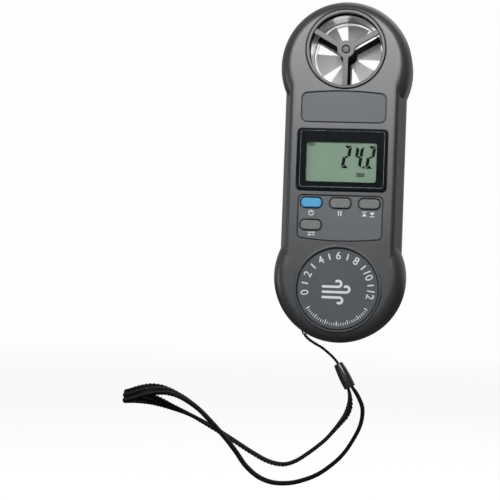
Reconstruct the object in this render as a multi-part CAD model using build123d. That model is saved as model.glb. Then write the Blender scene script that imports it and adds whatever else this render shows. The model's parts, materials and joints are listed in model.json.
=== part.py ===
from build123d import *
import math
import os

# Pocket vane anemometer, in millimetres.
# +Z runs up the case towards the vane head, the keys and display face -Y,
# and +X is to the right as the display is read.
# Origin: centre of the flat back face, halfway up the case.
# "Front" means towards -Y and "back" towards +Y throughout.

os.makedirs("parts", exist_ok=True)

# ---------------------------------------------------------------- dimensions
# Case: two round lobes joined by a narrower waist, split into two shells
CASE_LENGTH = 156.0
CASE_WIDTH = 60.0
CASE_DEPTH = 33.0
LOBE_R = CASE_WIDTH / 2
LOBE_Z = CASE_LENGTH / 2 - LOBE_R       # lobe centres, above and below the origin
WAIST_HALF = 27.5
SIDE_WALL = 2.0
FRONT_WALL = 2.4
BACK_WALL = 2.0
SPLIT_Y = -16.0                         # parting line between the two shells
FRONT_Y = -CASE_DEPTH
FRONT_INNER_Y = FRONT_Y + FRONT_WALL
BACK_INNER_Y = -BACK_WALL
ROOT = 0.5                              # how far bosses run into the wall they stand on
GAP = 0.05                              # clearance between touching pieces

# Places as (x, z), the upper pair of case screws first
BOARD_SCREWS = [(-22.2, 19.3), (22.2, 19.3), (-22.2, -43.0), (22.2, -43.0)]
CASE_SCREWS = [(-21.0, 30.6), (21.0, 30.6), (-9.0, -70.6), (9.0, -70.6)]

# Vane head
DUCT_Z = 55.2
DUCT_HOLE_R = 18.1
DUCT_OUTER_R = 17.9
DUCT_INNER_R = 16.3
DUCT_REAR_R = 15.95                     # narrower bore behind the step
DUCT_Y0, DUCT_STEP_Y, DUCT_Y1 = -26.1, -9.15, -3.0
WHEEL_R = 15.4
WHEEL_Y = -6.2
WHEEL_HALF_T = 2.5
BLADES = 6
HUB_R = 3.9
SPOKE_W = 2.3
ARM_ANGLES = (30, 150, 270)
SHAFT_R = 0.75
SHAFT_CLEAR = 0.05
BEARING_R = 1.55

# Display: rectangles as x0, x1, z0, z1
BEZEL = (-20.4, 20.4, -9.4, 18.75)
LENS = (-19.1, 19.1, -7.7, 17.95)
LCD_VIEW = (-16.2, 15.55, -5.1, 12.95)  # right side set in a little
LCD_OPENING = (-19.0, 19.0, -8.0, 17.0)
LCD_HOLDER = (-20.2, 20.2, -10.2, 19.2)
HOLDER_Y = -29.7
LCD_Y0, LCD_Y1 = FRONT_Y + 1.4, FRONT_Y + 4.2

# Keys, as (x, z) centres
KEY_W, KEY_H, KEY_R, KEY_GAP = 9.2, 4.3, 1.85, 0.48
KEYS = {
    "power_key": (-13.1, -14.8),
    "hold_key": (0.0, -14.8),
    "max_min_key": (13.05, -14.8),
    "unit_key": (-13.1, -24.9),
}

# Labels: half width, bottom z, top z, top rise, bottom drop, corner radius of the recess
BLANK_LABEL = (19.3, 21.6, 35.05, 1.2, 0, 2.9)
KEY_LABEL = (19.3, -30.85, -11.15, 0, 1.3, 2.4)
BED_INSET, SHEET_INSET = 0.7, 0.4
DISC_Z = -53.4
DISC_R = 18.1

# Board and battery
BOARD = (-24.3, 24.3, -60.0, 22.4)
BOARD_Y0, BOARD_Y1 = -19.6, -18.0
CELL_R, CELL_BODY, CELL_NUB, NUB_R = 5.2, 43.5, 0.9, 1.9
CELL_PITCH = 10.8
CELL_Y = -8.7
CELL_X = [CELL_PITCH * (k - 1.5) for k in range(4)]
WELL_Z0, WELL_Z1 = -62.5, -13.0
WELL_HALF = 22.2
WELL_WALL = 1.5
CELL_SHIFT = 1.55                       # of a cell body from mid well, towards its nub
COVER_HALF = 23.0
COVER_TOP = -11.0
COVER_T = 2.3
COVER_GAP = 0.2

# Lanyard
PIN_X, PIN_Z, PIN_R = -16.3, -68.9, 0.8
PIN_Y0, PIN_Y1 = -12.1, -3.1
NOTCH_Y0, NOTCH_Y1 = -11.0, -5.4
CORD_Y = -8.4
CORD_R = 0.38


# ------------------------------------------------------------------- helpers
def box(x0, x1, y0, y1, z0, z1):
    return Pos((x0 + x1) / 2, (y0 + y1) / 2, (z0 + z1) / 2) * Box(x1 - x0, y1 - y0, z1 - z0)


def ycyl(x, z, r, y0, y1):
    return Pos(x, (y0 + y1) / 2, z) * Rot(90, 0, 0) * Cylinder(r, y1 - y0)


def duct_cyl(r, y0, y1):
    """A cylinder on the axis of the vane duct."""
    return ycyl(0, DUCT_Z, r, y0, y1)


def prism(sketch, y0, y1):
    """A sketch in X and Z, drawn as local x and y, extruded from y1 forward to y0."""
    return extrude(Plane((0, y1, 0), x_dir=(1, 0, 0), z_dir=(0, -1, 0)) * sketch, amount=y1 - y0)


def recess(sketch, depth):
    """A cutter that reaches `depth` behind the front face."""
    return prism(sketch, FRONT_Y - 1, FRONT_Y + depth)


def rounded(rect, r, grow=0):
    """A rounded rectangle from x0, x1, z0, z1, with every side moved out by `grow`."""
    x0, x1, z0, z1 = rect
    centre = Pos((x0 + x1) / 2, (z0 + z1) / 2)
    return centre * RectangleRounded(x1 - x0 + 2 * grow, z1 - z0 + 2 * grow, r)


def polygon(*points):
    return make_face(Polyline(*points, close=True))


def face(*edges):
    return make_face(Curve() + [*edges])


def outline(*items):
    """A closed face through points; an item of 4 points is a Bezier curve."""
    edges = []
    last = None
    for item in items:
        is_curve = isinstance(item[0], tuple)
        start = item[0] if is_curve else item
        if last is not None and math.dist(last, start) > 1e-6:
            edges.append(Line(last, start))
        if is_curve:
            edges.append(Bezier(*item))
        last = item[-1] if is_curve else item
    first = items[0][0] if isinstance(items[0][0], tuple) else items[0]
    if math.dist(last, first) > 1e-6:
        edges.append(Line(last, first))
    return face(*edges)


def spun(profile, z):
    """A half profile in X and Y turned about the Y axis through height z."""
    return Pos(0, 0, z) * revolve(profile, Axis((0, 0, 0), (0, 1, 0)), 360)


def along(profile, z0, z1):
    """A half profile in X and Y, mirrored, and drawn along Z."""
    half = extrude(profile, amount=z1 - z0, dir=(0, 0, 1))
    return Pos(0, 0, z0) * (half + mirror(half, Plane.YZ))


def tube(points, r):
    """A round wire swept along a spline."""
    path = Spline(*points)
    return one(sweep(Plane(path @ 0, z_dir=path % 0) * Circle(r), path=path))


def one(shape):
    """The single biggest solid of a result."""
    return sorted(shape.solids(), key=lambda s: s.volume)[-1]


def try_edges(operation, shape, picked, size):
    """Fillet or chamfer, or the plain shape if the kernel can't build it."""
    try:
        return operation(picked, size)
    except Exception:
        return shape


def rounded_edges(shape, radius, pick):
    """Fillet the picked edges, keeping the plain shape if that fails or is invalid."""
    done = try_edges(fillet, shape, pick(shape.edges()), radius)
    return done if done.is_valid else shape


def circles(edges):
    return edges.filter_by(GeomType.CIRCLE)


def front_circle(edges):
    return circles(edges).sort_by(Axis.Y)[:1]


def back_circle(edges):
    return circles(edges).sort_by(Axis.Y)[-1:]


def save(name, shape):
    shape.label = name
    export_step(shape, f"parts/{name}.step")


# ---------------------------------------------------------------- case bodies
# Half profiles are points in X and Y.
def shell(lobe, waist):
    """The two lobes and the waist between them."""
    return spun(lobe, LOBE_Z) + spun(lobe, -LOBE_Z) + along(waist, -LOBE_Z, LOBE_Z)


def seam(half):
    """Start of a front profile, with the small step at the parting line."""
    step = half - 0.4
    return (0.0, SPLIT_Y), (step, SPLIT_Y), (step, SPLIT_Y - 0.3), (half, SPLIT_Y - 0.55)


def back_profile(half, flat_x, pull_x, pull_y):
    """The flat back reaches flat_x; the pulls shape the curve up to the side."""
    side = (half, -6.5)
    return outline(
        (0.0, 0.0), (flat_x, 0.0),
        ((flat_x, 0.0), (pull_x, 0.0), (half, pull_y), side),
        (half, SPLIT_Y), (0.0, SPLIT_Y),
    )


def back_hollow_profile(half, flat_x, pull_x, pull_y):
    side = (half, -6.8)
    return outline(
        (0.0, SPLIT_Y - 1), (half, SPLIT_Y - 1), side,
        (side, (half, pull_y), (pull_x, BACK_INNER_Y), (flat_x, BACK_INNER_Y)),
        (0.0, BACK_INNER_Y),
    )


LOBE_IN = LOBE_R - SIDE_WALL
WAIST_IN = WAIST_HALF - SIDE_WALL
front_outer = shell(
    outline(
        *seam(LOBE_R), (LOBE_R, -21.5),
        ((LOBE_R, -21.5), (LOBE_R, -28.6), (28.2, FRONT_Y), (23.4, FRONT_Y)),
        (0.0, FRONT_Y),
    ),
    outline(
        *seam(WAIST_HALF), (WAIST_HALF, -21.8), (24.9, -30.6),
        ((24.9, -30.6), (24.3, -32.5), (23.6, FRONT_Y), (22.0, FRONT_Y)),
        (0.0, FRONT_Y),
    ),
)
front_hollow = shell(
    outline(
        (0.0, SPLIT_Y + 1), (LOBE_IN, SPLIT_Y + 1), (LOBE_IN, -21.8),
        ((LOBE_IN, -21.8), (LOBE_IN, -27.4), (26.6, FRONT_INNER_Y), (22.6, FRONT_INNER_Y)),
        (0.0, FRONT_INNER_Y),
    ),
    outline(
        (0.0, SPLIT_Y + 1), (WAIST_IN, SPLIT_Y + 1), (WAIST_IN, -22.0), (23.0, -29.6),
        (21.9, FRONT_INNER_Y), (0.0, FRONT_INNER_Y),
    ),
)
back_outer = shell(
    back_profile(LOBE_R, flat_x=25.4, pull_x=28.6, pull_y=-2.2),
    back_profile(WAIST_HALF, flat_x=23.4, pull_x=26.2, pull_y=-2.0),
)
back_hollow = shell(
    back_hollow_profile(LOBE_IN, flat_x=24.2, pull_x=26.8, pull_y=-3.6),
    back_hollow_profile(WAIST_IN, flat_x=22.4, pull_x=24.6, pull_y=-3.4),
)


# ---------------------------------------------------- outlines of labels and keys
def label_outline(label, inset=0):
    """A rounded rectangle whose top or bottom edge may bow outward."""
    half, z0, z1, top_rise, bottom_drop, r = label
    half, z0, z1 = half - inset, z0 + inset, z1 - inset

    def level_edge(start, end, bow):
        if bow:
            return ThreePointArc(start, (0, start[1] + bow), end)
        return Line(start, end)

    sketch = face(
        Line((half, z0), (half, z1)),
        Line((-half, z1), (-half, z0)),
        level_edge((half, z1), (-half, z1), top_rise),
        level_edge((-half, z0), (half, z0), -bottom_drop),
    )
    return fillet(sketch.vertices(), r - inset)


def key_outline(x, z, grow=0):
    return Pos(x, z) * RectangleRounded(KEY_W + 2 * grow, KEY_H + 2 * grow, KEY_R + grow)


# ------------------------------------------------------------------ front case
def front_case():
    root_y = FRONT_INNER_Y - ROOT
    case = front_outer - front_hollow
    bosses = duct_cyl(DUCT_HOLE_R + 1.5, root_y, SPLIT_Y - GAP)
    for x, z in BOARD_SCREWS:
        bosses += ycyl(x, z, 2.1, root_y, BOARD_Y0 - GAP)
    for x, z in CASE_SCREWS:
        bosses += ycyl(x, z, 2.9, root_y, SPLIT_Y - GAP)
    case += bosses & front_outer

    # raised lip round the disc
    lip = ycyl(0, DISC_Z, DISC_R + 1.7, FRONT_Y - 0.5, FRONT_Y + 0.4)
    case += rounded_edges(lip, 0.42, front_circle)

    # openings and recesses of the front face
    case -= duct_cyl(DUCT_HOLE_R, FRONT_Y - 2, SPLIT_Y + 1)
    case -= ycyl(0, DISC_Z, DISC_R + 0.45, FRONT_Y - 2, FRONT_Y + 1.2)
    case -= recess(rounded(BEZEL, 2.2, grow=0.2), 1.4)
    case -= recess(rounded(LCD_OPENING, 1.0), FRONT_WALL + 1)
    case -= recess(label_outline(BLANK_LABEL), 0.5)
    case -= recess(label_outline(KEY_LABEL), 0.4)
    # a deeper channel round each label, where the edge of the film is tucked in
    for label, depth in ((BLANK_LABEL, 1.3), (KEY_LABEL, 1.2)):
        case -= recess(label_outline(label) - label_outline(label, BED_INSET), depth)
    # and one round the disc
    channel = ycyl(0, DISC_Z, DISC_R + 0.6, FRONT_Y - 2, FRONT_Y + 1.9)
    case -= channel - ycyl(0, DISC_Z, DISC_R - 0.5, FRONT_Y - 3, FRONT_Y + 3)
    # counterbore at the mouth of the duct hole
    case -= duct_cyl(DUCT_HOLE_R + 0.3, FRONT_Y - 2, FRONT_Y + 1.2)
    for x, z in KEYS.values():
        case -= recess(key_outline(x, z, KEY_GAP), FRONT_WALL + 1)

    # screw holes
    for x, z in BOARD_SCREWS:
        case -= ycyl(x, z, 0.9, -26.5, BOARD_Y0 + 1)
    for x, z in CASE_SCREWS:
        case -= ycyl(x, z, 1.2, -27.0, SPLIT_Y + 1)
    return one(case)


save("front_case", front_case())


# ------------------------------------------------------------------- rear case
def notch_fan():
    """The sector, from the pin out past the rim, that the lanyard leaves through."""
    reach, start, sweep_angle, steps = 12, -74, 122, 8
    points = [(PIN_X, PIN_Z)]
    for k in range(steps + 1):
        a = math.radians(start - k * sweep_angle / steps)
        points.append((PIN_X + reach * math.cos(a), PIN_Z + reach * math.sin(a)))
    return polygon(*points)


def rear_case():
    root_y = BACK_INNER_Y + ROOT
    well_x = WELL_HALF + WELL_WALL
    case = back_outer - back_hollow
    bosses = duct_cyl(DUCT_HOLE_R + 1.5, SPLIT_Y + GAP, root_y)
    for x, z in CASE_SCREWS[:2]:
        bosses += ycyl(x, z, 3.6, SPLIT_Y + GAP, root_y)
    for x, z in CASE_SCREWS[2:]:
        bosses += ycyl(x, z, 3.6, SPLIT_Y + GAP, -3.0)
    # walls of the battery well, and a thicker back under the cover
    bosses += box(
        -well_x, well_x, SPLIT_Y + 0.1, root_y, WELL_Z0 - WELL_WALL, WELL_Z1 + WELL_WALL
    )
    bosses += box(-26, 26, -4.0, root_y, -79, COVER_TOP + 1.5)
    # solid corner that holds the lanyard pin
    bosses += ycyl(PIN_X, PIN_Z, 5.4, -12.5, -3.0)
    case += bosses & back_outer

    case -= duct_cyl(DUCT_HOLE_R, SPLIT_Y - 1, 1)
    case -= box(-WELL_HALF, WELL_HALF, -14.8, 1, WELL_Z0, WELL_Z1)
    # the cover slides in this channel, open at the bottom end, with grooves for its rails
    floor_y, top_z = -COVER_T - COVER_GAP, COVER_TOP + COVER_GAP
    channel_x, groove_x = COVER_HALF + COVER_GAP, COVER_HALF + 1.2
    case -= box(-channel_x, channel_x, floor_y, 1, -80, top_z)
    case -= box(-groove_x, groove_x, floor_y, -1.05, -80, top_z)
    # screw holes with wells for the heads
    for x, z in CASE_SCREWS:
        case -= ycyl(x, z, 1.45, SPLIT_Y - 1, 0)
        case -= ycyl(x, z, 2.6, -9.0, 1)
    # lanyard notch: a pocket round the pin, fanning out through the rim
    case -= ycyl(PIN_X, PIN_Z, 3.6, NOTCH_Y0, NOTCH_Y1)
    case -= prism(notch_fan(), NOTCH_Y0, NOTCH_Y1)
    case -= ycyl(PIN_X, PIN_Z, PIN_R + 0.03, PIN_Y0 - 0.1, PIN_Y1 + 0.1)
    return one(case)


save("rear_case", rear_case())


# --------------------------------------------------------------- battery cover
def battery_cover():
    cover = back_outer & box(-COVER_HALF, COVER_HALF, -COVER_T, 1, -80, COVER_TOP)
    inner_x, outer_x = COVER_HALF - 0.5, COVER_HALF + 1.0
    rail = (-COVER_T, -1.25, -50, COVER_TOP - 0.5)     # y0, y1, z0, z1
    cover = cover + (back_outer & (box(inner_x, outer_x, *rail) + box(-outer_x, -inner_x, *rail)))
    # six grip grooves over an arrowhead that points down
    for k in range(6):
        z = -19.0 - 1.9 * k
        cover -= box(-7.5, 7.5, -0.55, 1, z - 0.5, z + 0.5)
    cover -= prism(polygon((-3.2, -34.0), (3.2, -34.0), (0, -38.5)), -0.5, 1)
    return one(cover)


save("battery_cover", battery_cover())


# ---------------------------------------------------------------------- screws
def screw(x, z, head_y, head_r, head_h, shank_r, tip_y, slot):
    """A cross-head screw pointing forward; head_y is the back of the head."""
    reach = slot * 2.2
    slot_y = head_y - head_h * 0.6
    body = ycyl(x, z, head_r, head_y - head_h, head_y)
    body = rounded_edges(body, head_h * 0.4, back_circle)
    body += ycyl(x, z, shank_r, tip_y, head_y - head_h)
    body -= box(x - reach, x + reach, slot_y, head_y + 1, z - slot / 2, z + slot / 2)
    body -= box(x - slot / 2, x + slot / 2, slot_y, head_y + 1, z - reach, z + reach)
    return one(body)


def screws(places, **sizes):
    return Compound(children=[screw(x, z, **sizes) for x, z in places])


save("case_screws", screws(
    CASE_SCREWS, head_y=-7.2, head_r=2.35, head_h=1.7, shank_r=1.15, tip_y=-25.5, slot=0.7
))
save("board_screws", screws(
    BOARD_SCREWS, head_y=-16.6, head_r=1.9, head_h=1.3, shank_r=0.85, tip_y=-25.0, slot=0.5
))


# -------------------------------------------------------------------- vane head
def guard(ring_y, web_y, hub_y, ring_inner_r):
    """A ring with three arms to a bored hub; each y is a front and back pair."""
    ring = duct_cyl(DUCT_OUTER_R, *ring_y) - duct_cyl(ring_inner_r, ring_y[0] - 1, ring_y[1] + 1)
    arm_length = DUCT_OUTER_R - 0.8
    arms = Circle(HUB_R)
    for angle in ARM_ANGLES:
        arms += Rot(0, 0, angle) * Pos(arm_length / 2, 0) * Rectangle(arm_length, SPOKE_W)
    inner = [v for v in arms.vertices() if math.hypot(v.X, v.Y) < HUB_R + 0.5]
    arms = try_edges(fillet, arms, inner, 1.3)
    solid = ring + prism(Pos(0, DUCT_Z) * arms, *web_y) + duct_cyl(HUB_R - 0.5, *hub_y)
    return one(solid - duct_cyl(BEARING_R + 0.04, hub_y[0] - 3, hub_y[1] + 3))


def front_guard():
    rim_y = -33.25
    solid = guard((rim_y, -26.2), (-32.3, -30.0), (-32.3, -28.4), 16.5)
    solid = rounded_edges(
        solid, 0.3, lambda e: circles(e).filter_by(lambda c: abs(c.center().Y - rim_y) < 1e-3)
    )
    # shallow recess round the bearing
    return one(solid - duct_cyl(BEARING_R + 0.38, -33.4, -31.9))


save("front_guard", front_guard())
save("rear_guard", guard((-2.9, -0.3), (-3.0, -0.9), (-3.2, -0.9), 15.9))


def duct_spider():
    """Stands in the duct just in front of the wheel, its arm ends at the duct's step."""
    arms = Circle(3.8)
    for angle in ARM_ANGLES:
        arms += Rot(0, 0, angle) * polygon((0, -1.0), (18, -1.35), (18, 1.35), (0, 1.0))
    arms = fillet([v for v in arms.vertices() if math.hypot(v.X, v.Y) < 4.5], 0.9)
    solid = prism(Pos(0, DUCT_Z) * (arms & Circle(DUCT_INNER_R - 0.05)), -11.6, -9.2)
    solid += duct_cyl(3.2, -12.8, -9.3)
    solid -= duct_cyl(SHAFT_R + 0.3, -14, -8)
    return one(solid)


save("duct_spider", duct_spider())


def vane_duct():
    """A sleeve with a step in its bore and three grooves in front of the step."""
    groove_r, groove_w = DUCT_INNER_R + 0.3, 0.6
    grooves = []
    for y in (-13.0, -16.2, -18.6):
        grooves += [
            (DUCT_INNER_R, y), (groove_r, y),
            (groove_r, y - groove_w), (DUCT_INNER_R, y - groove_w),
        ]
    profile = outline(
        (DUCT_INNER_R, DUCT_Y0), (DUCT_OUTER_R, DUCT_Y0), (DUCT_OUTER_R, DUCT_Y1),
        (DUCT_REAR_R, DUCT_Y1), (DUCT_REAR_R, DUCT_STEP_Y), (DUCT_INNER_R, DUCT_STEP_Y),
        *grooves,
    )
    return one(spun(profile, DUCT_Z))


save("vane_duct", vane_duct())

# bearings: closed outer ends, a blind hole that carries the shaft end
bore_r = SHAFT_R + SHAFT_CLEAR
front_bearing = rounded_edges(duct_cyl(BEARING_R, -32.45, -28.2), 0.25, front_circle)
save("front_bearing", one(front_bearing - duct_cyl(bore_r, -30.4, -28.0)))
save("rear_bearing", one(duct_cyl(BEARING_R, -3.4, -0.7) - duct_cyl(bore_r, -3.6, -1.7)))
save("wheel_shaft", duct_cyl(SHAFT_R, -30.2, -2.0))

# Blade sections: radius, pitch from the shaft direction in degrees, chord
BLADE_SECTIONS = [(2.4, 50, 4.6), (6.5, 59, 6.2), (11.0, 65, 9.0), (WHEEL_R, 68, 11.8)]
BLADE_T = 0.55


def blade(angle):
    """A twisted blade, steep at the hub and flatter at the tip, that widens outward."""
    sections = []
    for r, pitch, chord in BLADE_SECTIONS:
        p = math.radians(pitch)
        plane = Plane((r, 0, 0), x_dir=(0, math.cos(p), math.sin(p)), z_dir=(1, 0, 0))
        sections.append(plane * RectangleRounded(chord, BLADE_T, 0.2))
    return Pos(0, WHEEL_Y, DUCT_Z) * Rot(0, angle, 0) * loft(sections)


def vane_wheel():
    y0, y1 = WHEEL_Y - WHEEL_HALF_T, WHEEL_Y + WHEEL_HALF_T
    wheel = rounded_edges(duct_cyl(3.0, y0, y1), 0.8, circles)
    for k in range(BLADES):
        wheel += blade(360 / BLADES * k + 45)
    wheel = wheel & duct_cyl(WHEEL_R, y0, y1)
    wheel -= duct_cyl(SHAFT_R + 0.01, WHEEL_Y - 6, WHEEL_Y + 6)
    return one(wheel)


save("vane_wheel", vane_wheel())

# speed sensor: a block with a notch in its top, its board, and a flat cable to the main board
sensor = box(-2.6, 2.6, -12.6, -6.0, 31.6, 35.4)
sensor -= box(-0.6, 0.6, -13, -5, 34.6, 36)
save("speed_sensor", one(sensor))
sensor_board = box(-9, 9, -13.9, -12.7, 23.5, 35.3)
for x in (-6.8, 6.8):
    sensor_board -= ycyl(x, 26, 1.1, -15, -11)
save("sensor_board", one(sensor_board))
cable_path = Spline((0, -12.2, 24.6), (0, -9.6, 21.0), (0, -12.6, 18.2), (0, -17.9, 17.0))
cable_start = Plane(cable_path @ 0, z_dir=cable_path % 0, x_dir=(1, 0, 0))
save("sensor_cable", one(sweep(cable_start * Rectangle(4.2, 0.8), path=cable_path)))


# --------------------------------------------------------------------- display
def display_bezel():
    bezel = prism(rounded(BEZEL, 2.1), FRONT_Y - 0.75, FRONT_Y + 1.3)
    bezel = try_edges(chamfer, bezel, bezel.faces().sort_by(Axis.Y)[0].edges(), 0.6)
    bezel -= prism(rounded(LENS, 1.3), FRONT_Y - 2, FRONT_Y + 0.5)
    bezel -= prism(rounded(LCD_VIEW, 1.2), FRONT_Y - 2, FRONT_Y + 2)
    return one(bezel)


def lcd_frame(opening, y0, y1):
    """A frame round the display panel."""
    return one(prism(rounded(LCD_HOLDER, 1.5) - rounded(opening, 0.3), y0, y1))


save("display_bezel", display_bezel())
window = prism(rounded(LENS, 1.2, grow=-0.1), FRONT_Y - 0.4, FRONT_Y + 0.45)
save("display_window", one(window))
save("lcd_panel", box(-18, 18, LCD_Y0, LCD_Y1, -6.6, 15.6))
save("lcd_holder", lcd_frame((-18.15, 18.15, -6.8, 15.8), HOLDER_Y, BOARD_Y0 - GAP))
save("lcd_gasket", lcd_frame((-18.6, 18.6, -7.4, 16.4), FRONT_INNER_Y + GAP, HOLDER_Y - GAP))
for name, z0, z1 in (("upper_contact_strip", 13.3, 15.5), ("lower_contact_strip", -6.5, -4.3)):
    save(name, box(-17.6, 17.6, LCD_Y1 + GAP, BOARD_Y0 - GAP, z0, z1))

# ------------------------------------------------------------------ electronics
board = prism(rounded(BOARD, 2.5), BOARD_Y0, BOARD_Y1)
for x, z in BOARD_SCREWS:
    board -= ycyl(x, z, 1.1, BOARD_Y0 - 1, BOARD_Y1 + 1)
save("main_board", one(board))

MOUNT_Y = BOARD_Y1 + GAP                # components stand on the back of the board
LEAD_Y = MOUNT_Y + 0.5                  # back of the flat leads


def meter_chip():
    """A square chip with ten leads on each side."""
    z_mid, half, reach, lead_half = -30, 6, 7.2, 0.2
    chip = box(-half, half, MOUNT_Y, MOUNT_Y + 1.5, z_mid - half, z_mid + half)
    for k in range(10):
        t = -4.9 + k * 1.09
        lead = (t - lead_half, t + lead_half)
        chip += box(*lead, MOUNT_Y, LEAD_Y, z_mid - reach, z_mid + reach)
        chip += box(-reach, reach, MOUNT_Y, LEAD_Y, z_mid + lead[0], z_mid + lead[1])
    return one(chip)


def amplifier_chip():
    """A small chip with four leads on each side."""
    chip = box(-16.5, -12.6, MOUNT_Y, MOUNT_Y + 1.4, -2.5, 2.5)
    for k in range(4):
        z = -2.1 + k * 1.27
        chip += box(-17.5, -11.6, MOUNT_Y, LEAD_Y, z, z + 0.4)
    return one(chip)


save("meter_chip", meter_chip())
save("amplifier_chip", amplifier_chip())
crystal = prism(rounded((-5.4, 5.4, 3.0, 6.8), 1.8), MOUNT_Y, MOUNT_Y + 3.4)
save("quartz_crystal", one(crystal))
capacitor = rounded_edges(ycyl(13.5, 6.0, 2.5, MOUNT_Y, MOUNT_Y + 6.5), 0.4, back_circle)
save("electrolytic_capacitor", one(capacitor))
trim_pot = box(-16.5, -11.8, MOUNT_Y, MOUNT_Y + 3.2, 8.0, 12.7)
trim_pot -= box(-15.6, -12.7, MOUNT_Y + 2.7, MOUNT_Y + 4, 10.1, 10.6)
save("trim_pot", one(trim_pot))

# -------------------------------------------------------------- keys and labels
# keypad mat: a sheet with a post under each key
mat = prism(rounded((-19.2, 19.2, -30.6, -10.6), 1.5), BOARD_Y0 - 1.25, BOARD_Y0 - GAP)
for x, z in KEYS.values():
    mat += ycyl(x, z, 2.3, -28.7, BOARD_Y0 - 1.0)
save("keypad_mat", one(mat))


def key(x, z):
    """A key top with a flange behind the front wall."""
    top = prism(key_outline(x, z), FRONT_Y - 0.35, FRONT_INNER_Y + 0.2)
    top = try_edges(fillet, top, top.faces().sort_by(Axis.Y)[0].edges(), 0.45)
    flange = Pos(x, z) * RectangleRounded(KEY_W + 2.2, KEY_H + 2.2, 2.6)
    return one(top + prism(flange, FRONT_INNER_Y + 0.1, FRONT_INNER_Y + 1.0))


for name, (x, z) in KEYS.items():
    save(name, key(x, z))

panel = prism(label_outline(KEY_LABEL, SHEET_INSET), FRONT_Y + 0.08, FRONT_Y + 0.38)
for x, z in KEYS.values():
    panel -= recess(key_outline(x, z, KEY_GAP), 1)
save("key_panel_label", one(panel))
blank = prism(label_outline(BLANK_LABEL, SHEET_INSET), FRONT_Y + 0.18, FRONT_Y + 0.48)
save("blank_label", one(blank))
save("label_disc", one(ycyl(0, DISC_Z, DISC_R, FRONT_Y + 0.68, FRONT_Y + 1.18)))

# --------------------------------------------------------------------- battery
# Cells alternate: the first and third have their nub up, the others down.
SPRING_R, SPRING_WIRE_R, SPRING_TURNS = 3.0, 0.3, 3
CONTACT_Y0, CONTACT_Y1 = -13.4, -4.2


def cell_pose(k):
    """Which way the nub points, +1 for up, and the height of the cell's middle."""
    up = 1 if k % 2 == 0 else -1
    return up, (WELL_Z0 + WELL_Z1) / 2 + up * CELL_SHIFT


def cell(k):
    up, z = cell_pose(k)
    body = Pos(CELL_X[k], CELL_Y, z) * Cylinder(CELL_R, CELL_BODY)
    body = rounded_edges(body, 0.5, circles)
    nub_z = z + up * (CELL_BODY + CELL_NUB) / 2
    return one(body + Pos(CELL_X[k], CELL_Y, nub_z) * Cylinder(NUB_R, CELL_NUB))


def spring(k):
    """A coil between the flat end of a cell and the end of the well."""
    up, z = cell_pose(k)
    if up == 1:
        z0, z1 = WELL_Z0 + 0.5, z - CELL_BODY / 2 - GAP
    else:
        z0, z1 = z + CELL_BODY / 2 + GAP, WELL_Z1 - 0.5
    height = (z1 - z0) - 2 * SPRING_WIRE_R - 2 * GAP
    helix = Helix(pitch=height / SPRING_TURNS, height=height, radius=SPRING_R)
    section = Plane(helix @ 0, z_dir=helix % 0) * Circle(SPRING_WIRE_R)
    coil = sweep(section, path=helix, is_frenet=True)
    return one(Pos(CELL_X[k], CELL_Y, z0 + SPRING_WIRE_R + GAP) * coil)


for k in range(4):
    save(f"battery_cell_{k + 1}", cell(k))
save("battery_springs", Compound(children=[spring(k) for k in range(4)]))


def contact(first, last, wall_z, up):
    """A sheet on an end wall across some cells, its front edge folded towards them.

    up is +1 for the top wall and -1 for the bottom wall.
    """
    x0, x1 = CELL_X[first] - 4, CELL_X[last] + 4
    wall_side = wall_z - up * GAP
    z0, z1 = sorted((wall_side, wall_z - up * 0.45))
    fold_z0, fold_z1 = sorted((wall_side, wall_z - up * 1.6))
    front = CONTACT_Y0 - 0.8
    sheet = box(x0, x1, CONTACT_Y0, CONTACT_Y1, z0, z1)
    sheet += box(x0, x1, front, front + 0.5, fold_z0, fold_z1) + box(
        x0, x1, front, CONTACT_Y0, z0, z1
    )
    return one(sheet)


save("positive_contact", contact(0, 0, WELL_Z1, 1))
save("top_bridge_contact", contact(1, 2, WELL_Z1, 1))
save("negative_contact", contact(3, 3, WELL_Z1, 1))
save("left_bridge_contact", contact(0, 1, WELL_Z0, -1))
save("right_bridge_contact", contact(2, 3, WELL_Z0, -1))

# Battery wire route: distance inward from the cell's x, then y and z
WIRE_ROUTE = [
    (0, -8.5, WELL_Z1 + 1.7), (0.6, -9.6, -8.5), (3.0, -13.5, -6.0), (4.4, -17.85, -5.4),
]
for name, x, inward in (("positive_wire", CELL_X[0], 1), ("negative_wire", CELL_X[3], -1)):
    save(name, tube([(x + inward * d, y, z) for d, y, z in WIRE_ROUTE], 0.6))

# --------------------------------------------------------------------- lanyard
save("lanyard_pin", ycyl(PIN_X, PIN_Z, PIN_R, PIN_Y0, PIN_Y1))

# x, z of the middle of the doubled cord, and half the distance between its strands
CORD_LINE = [
    (-0.45, -87.60, 0.42), (-3.1, -84.75, 0.42), (-7.6, -81.15, 0.42), (-11.9, -78.75, 0.43),
    (-14.9, -76.7, 0.46), (-16.5, -74.6, 0.55), (-16.95, -72.6, 0.78), (-16.62, -70.7, 1.12),
]
CORD_TURN_R = PIN_R + 0.1 + CORD_R


def lanyard_cord():
    """One length of cord: up the right strand, over the pin, and down the left."""
    left, right = [], []
    for k, (x, z, spread) in enumerate(CORD_LINE):
        before = CORD_LINE[max(k - 1, 0)]
        after = CORD_LINE[min(k + 1, len(CORD_LINE) - 1)]
        dx, dz = after[0] - before[0], after[1] - before[1]
        length = math.hypot(dx, dz)
        nx, nz = -dz / length, dx / length
        left.append((x + nx * spread, CORD_Y, z + nz * spread))
        right.append((x - nx * spread, CORD_Y, z - nz * spread))
    turn = []
    for k in range(1, 8):
        a = math.radians(-8 + k * 196 / 8)
        x, z = PIN_X + CORD_TURN_R * math.cos(a), PIN_Z + CORD_TURN_R * math.sin(a)
        turn.append((x, CORD_Y, z))
    return tube([*right, *turn, *reversed(left)], CORD_R)


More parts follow.
